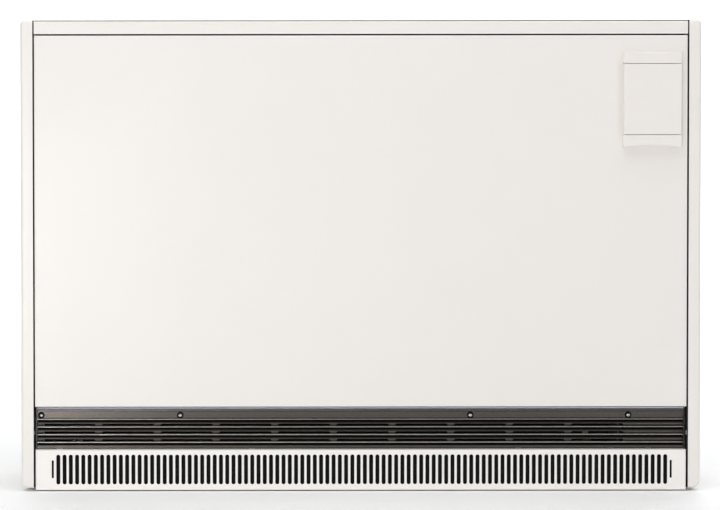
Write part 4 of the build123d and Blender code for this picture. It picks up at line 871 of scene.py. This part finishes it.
red_moulding = finish("red_moulding", colour=(0.52, 0.02, 0.015), shade=(0.44, 0.018, 0.014),
                      roughness=(0.2, 0.34), grain_size=0.0005, relief=0.000005, worn=(0.65, 0.1, 0.08),
                      amount=0.3, coat=0.2)
silicone = finish("silicone_lead", colour=(0.62, 0.58, 0.50), shade=(0.55, 0.51, 0.44),
                  roughness=(0.45, 0.6), grain_size=0.0005, relief=0.00001, patch=0.02)
dress(zinc_sheet, "switch_partition")
dress(grey_moulding, "terminal_block", "cable_gland")
dress(turned_brass, "terminal_screws")
dress(board_mask, "control_board")
dress(black_moulding, "board_tray", "board_components", "potentiometers")
dress(phenolic, "heat_limiter")
dress(red_moulding, "reset_button")
dress(silicone, "wiring_loom")

# ---------------------------------------------------------------------------------------------------
# Rear screws and rivets.
# Zinc-plated pan-head screws round the rear panel and cover, and rivets along the wall bracket.
# ---------------------------------------------------------------------------------------------------

rear_screw = cross_screw(3.8, 2.2, 1.9, 9.5, 2.1)
rear_heads = bmesh.new()
rear_places = [(side * 450, z) for side in (-1, 1) for z in (60, 340, 634)] + [(-300, 652), (300, 652)]
for n, (x, z) in enumerate(rear_places):
    placed(rear_heads, rear_screw, (x, cabinet_deep, z), 0.4 + 1.3 * n, flip=True)
rivet_head = [(0, 1.6), (1.2, 1.5), (2.3, 1.15), (3.1, 0.55), (3.4, 0.0)]
rivet = turned(rivet_head + [(1.9, 0.0), (1.9, -3.5), (0, -3.5)], 32)
rivet_mesh = bpy.data.meshes.new("rivet")
rivet.to_mesh(rivet_mesh)
rivet.free()
bracket_face, bracket_seam = 127, 580
for x in (-300, -100, 100, 300):
    placed(rear_heads, rivet_mesh, (x, bracket_face, bracket_seam), 0)
piece("rear_screw_set", rear_heads, plated, "cabinet", ["rear_screws"])

# ---------------------------------------------------------------------------------------------------
# Controls.
# Warm white ABS mouldings with a fine spark texture: a housing with a scooped cap above and below, a
# hinged lid with a finger tab, and two fluted dials on a recessed fascia with pad-printed scales.
# ---------------------------------------------------------------------------------------------------

white_moulding = finish("white_moulding", colour=(0.850, 0.812, 0.772), shade=(0.838, 0.802, 0.764),
                        roughness=(0.42, 0.54), grain_size=0.0005, relief=0.000012, patch=0.05,
                        worn=(0.86, 0.85, 0.83), amount=0.3, soft_edge=0.0005)
dress(white_moulding, "control_housing", "control_lid", "charge_dial", "room_dial")
scale_ink = finish("scale_ink", colour=(0.05, 0.055, 0.06), shade=(0.065, 0.07, 0.075),
                   roughness=(0.5, 0.62), grain_size=0.0004, relief=0.000004, patch=0.004)
dial_x, dial_heights, fascia_y, tick_start = 407.3, (574.0, 526.0), -117.5, 17.0
scales = bmesh.new()
for dial_z in dial_heights:
    for n in range(11):
        angle = math.radians(225 - 27 * n)
        cos, sin = math.cos(angle), math.sin(angle)
        tick = bmesh.new()
        block(tick, (-0.35, fascia_y - 0.06, tick_start), (0.35, fascia_y, tick_start + 0.8 + 0.26 * n))
        for vert in tick.verts:
            x, y, z = vert.co
            vert.co = Vector((dial_x + x * sin + z * cos, y, dial_z - x * cos + z * sin))
        add_mesh(scales, tick)
piece("dial_scales", scales, scale_ink, "cabinet")

# ---------------------------------------------------------------------------------------------------
# Floor, lights and camera.
# A pale floor that curves up into a far backdrop, large soft lights above and in front, a low strip at
# the left for the louvre, and weak fill. The camera stands in front, a little left of the middle.
# ---------------------------------------------------------------------------------------------------

scene = bpy.context.scene
scene.view_settings.view_transform = "Standard"

viewpoint = link(bpy.data.objects.new("viewpoint", bpy.data.cameras.new("viewpoint")))
viewpoint.location = (-0.131, -2.625, 0.380)
viewpoint.rotation_euler = (math.radians(90 - 1.09), math.radians(0.05), 0)
viewpoint.data.lens = 89.1
viewpoint.data.sensor_width = 36.0
viewpoint.data.shift_x = 0.1286
scene.camera = viewpoint


def soft_light(name, place, target, width, height, power, colour=(1, 1, 1)):
    """A rectangular light that faces a target point."""
    lamp = bpy.data.lights.new(name, "AREA")
    lamp.shape, lamp.size, lamp.size_y, lamp.energy, lamp.color = "RECTANGLE", width, height, power, colour
    holder = link(bpy.data.objects.new(name, lamp))
    holder.location = place
    holder.rotation_euler = (Vector(target) - Vector(place)).to_track_quat("-Z", "Y").to_euler()


soft_light("key_light", (-1.9, -2.9, 1.9), (0, -0.1, 0.25), 2.0, 2.2, 11, (1.0, 0.985, 0.965))
soft_light("fill_light", (2.6, -2.6, 1.4), (0, 0, 0.2), 2.0, 2.0, 10, (0.96, 0.98, 1.0))
soft_light("top_light", (0, -1.2, 3.2), (0, -0.9, 0), 3.8, 2.4, 68)
soft_light("rear_light", (1.6, 3.0, 2.0), (0, 0, 0.4), 2.2, 2.0, 16)
soft_light("strip_light", (-0.88, -2.8, 0.15), (-0.4, -0.1, 0.12), 0.36, 1.0, 22, (1.0, 0.985, 0.965))
soft_light("backdrop_light", (0, 5.0, 4.6), (0, 9.5, 1.2), 9.0, 2.4, 330)
soft_light("far_floor_light", (0, 4.0, 4.0), (0, 4.0, 0), 7.0, 4.0, 170)
room = bpy.data.worlds.new("studio")
room.use_nodes = True
room.node_tree.nodes["Background"].inputs["Color"].default_value = (0.95, 0.97, 1.0, 1)
room.node_tree.nodes["Background"].inputs["Strength"].default_value = 0.26
scene.world = room

floor_paint = finish("pale_floor", colour=(0.97, 0.97, 0.97), shade=(0.955, 0.955, 0.955),
                     roughness=(0.6, 0.7), grain_size=0.004, relief=0.00002, patch=0.8)
floor_half, bend_start, bend_radius, backdrop_high = 12.0, 7.0, 2.5, 6.0
sweep = bmesh.new()
profile = [(-floor_half, 0.0), (bend_start, 0.0)]
for n in range(1, 17):
    angle = n * math.pi / 32
    profile.append((bend_start + bend_radius * math.sin(angle), bend_radius - bend_radius * math.cos(angle)))
profile.append((bend_start + bend_radius, backdrop_high))
rows = [[sweep.verts.new((x, y, z)) for x in (-floor_half, floor_half)] for y, z in profile]
for lower, upper in zip(rows, rows[1:]):
    sweep.faces.new((lower[0], lower[1], upper[1], upper[0])).smooth = True
floor_mesh = bpy.data.meshes.new("floor")
sweep.to_mesh(floor_mesh)
floor_mesh.materials.append(floor_paint)
link(bpy.data.objects.new("floor", floor_mesh))
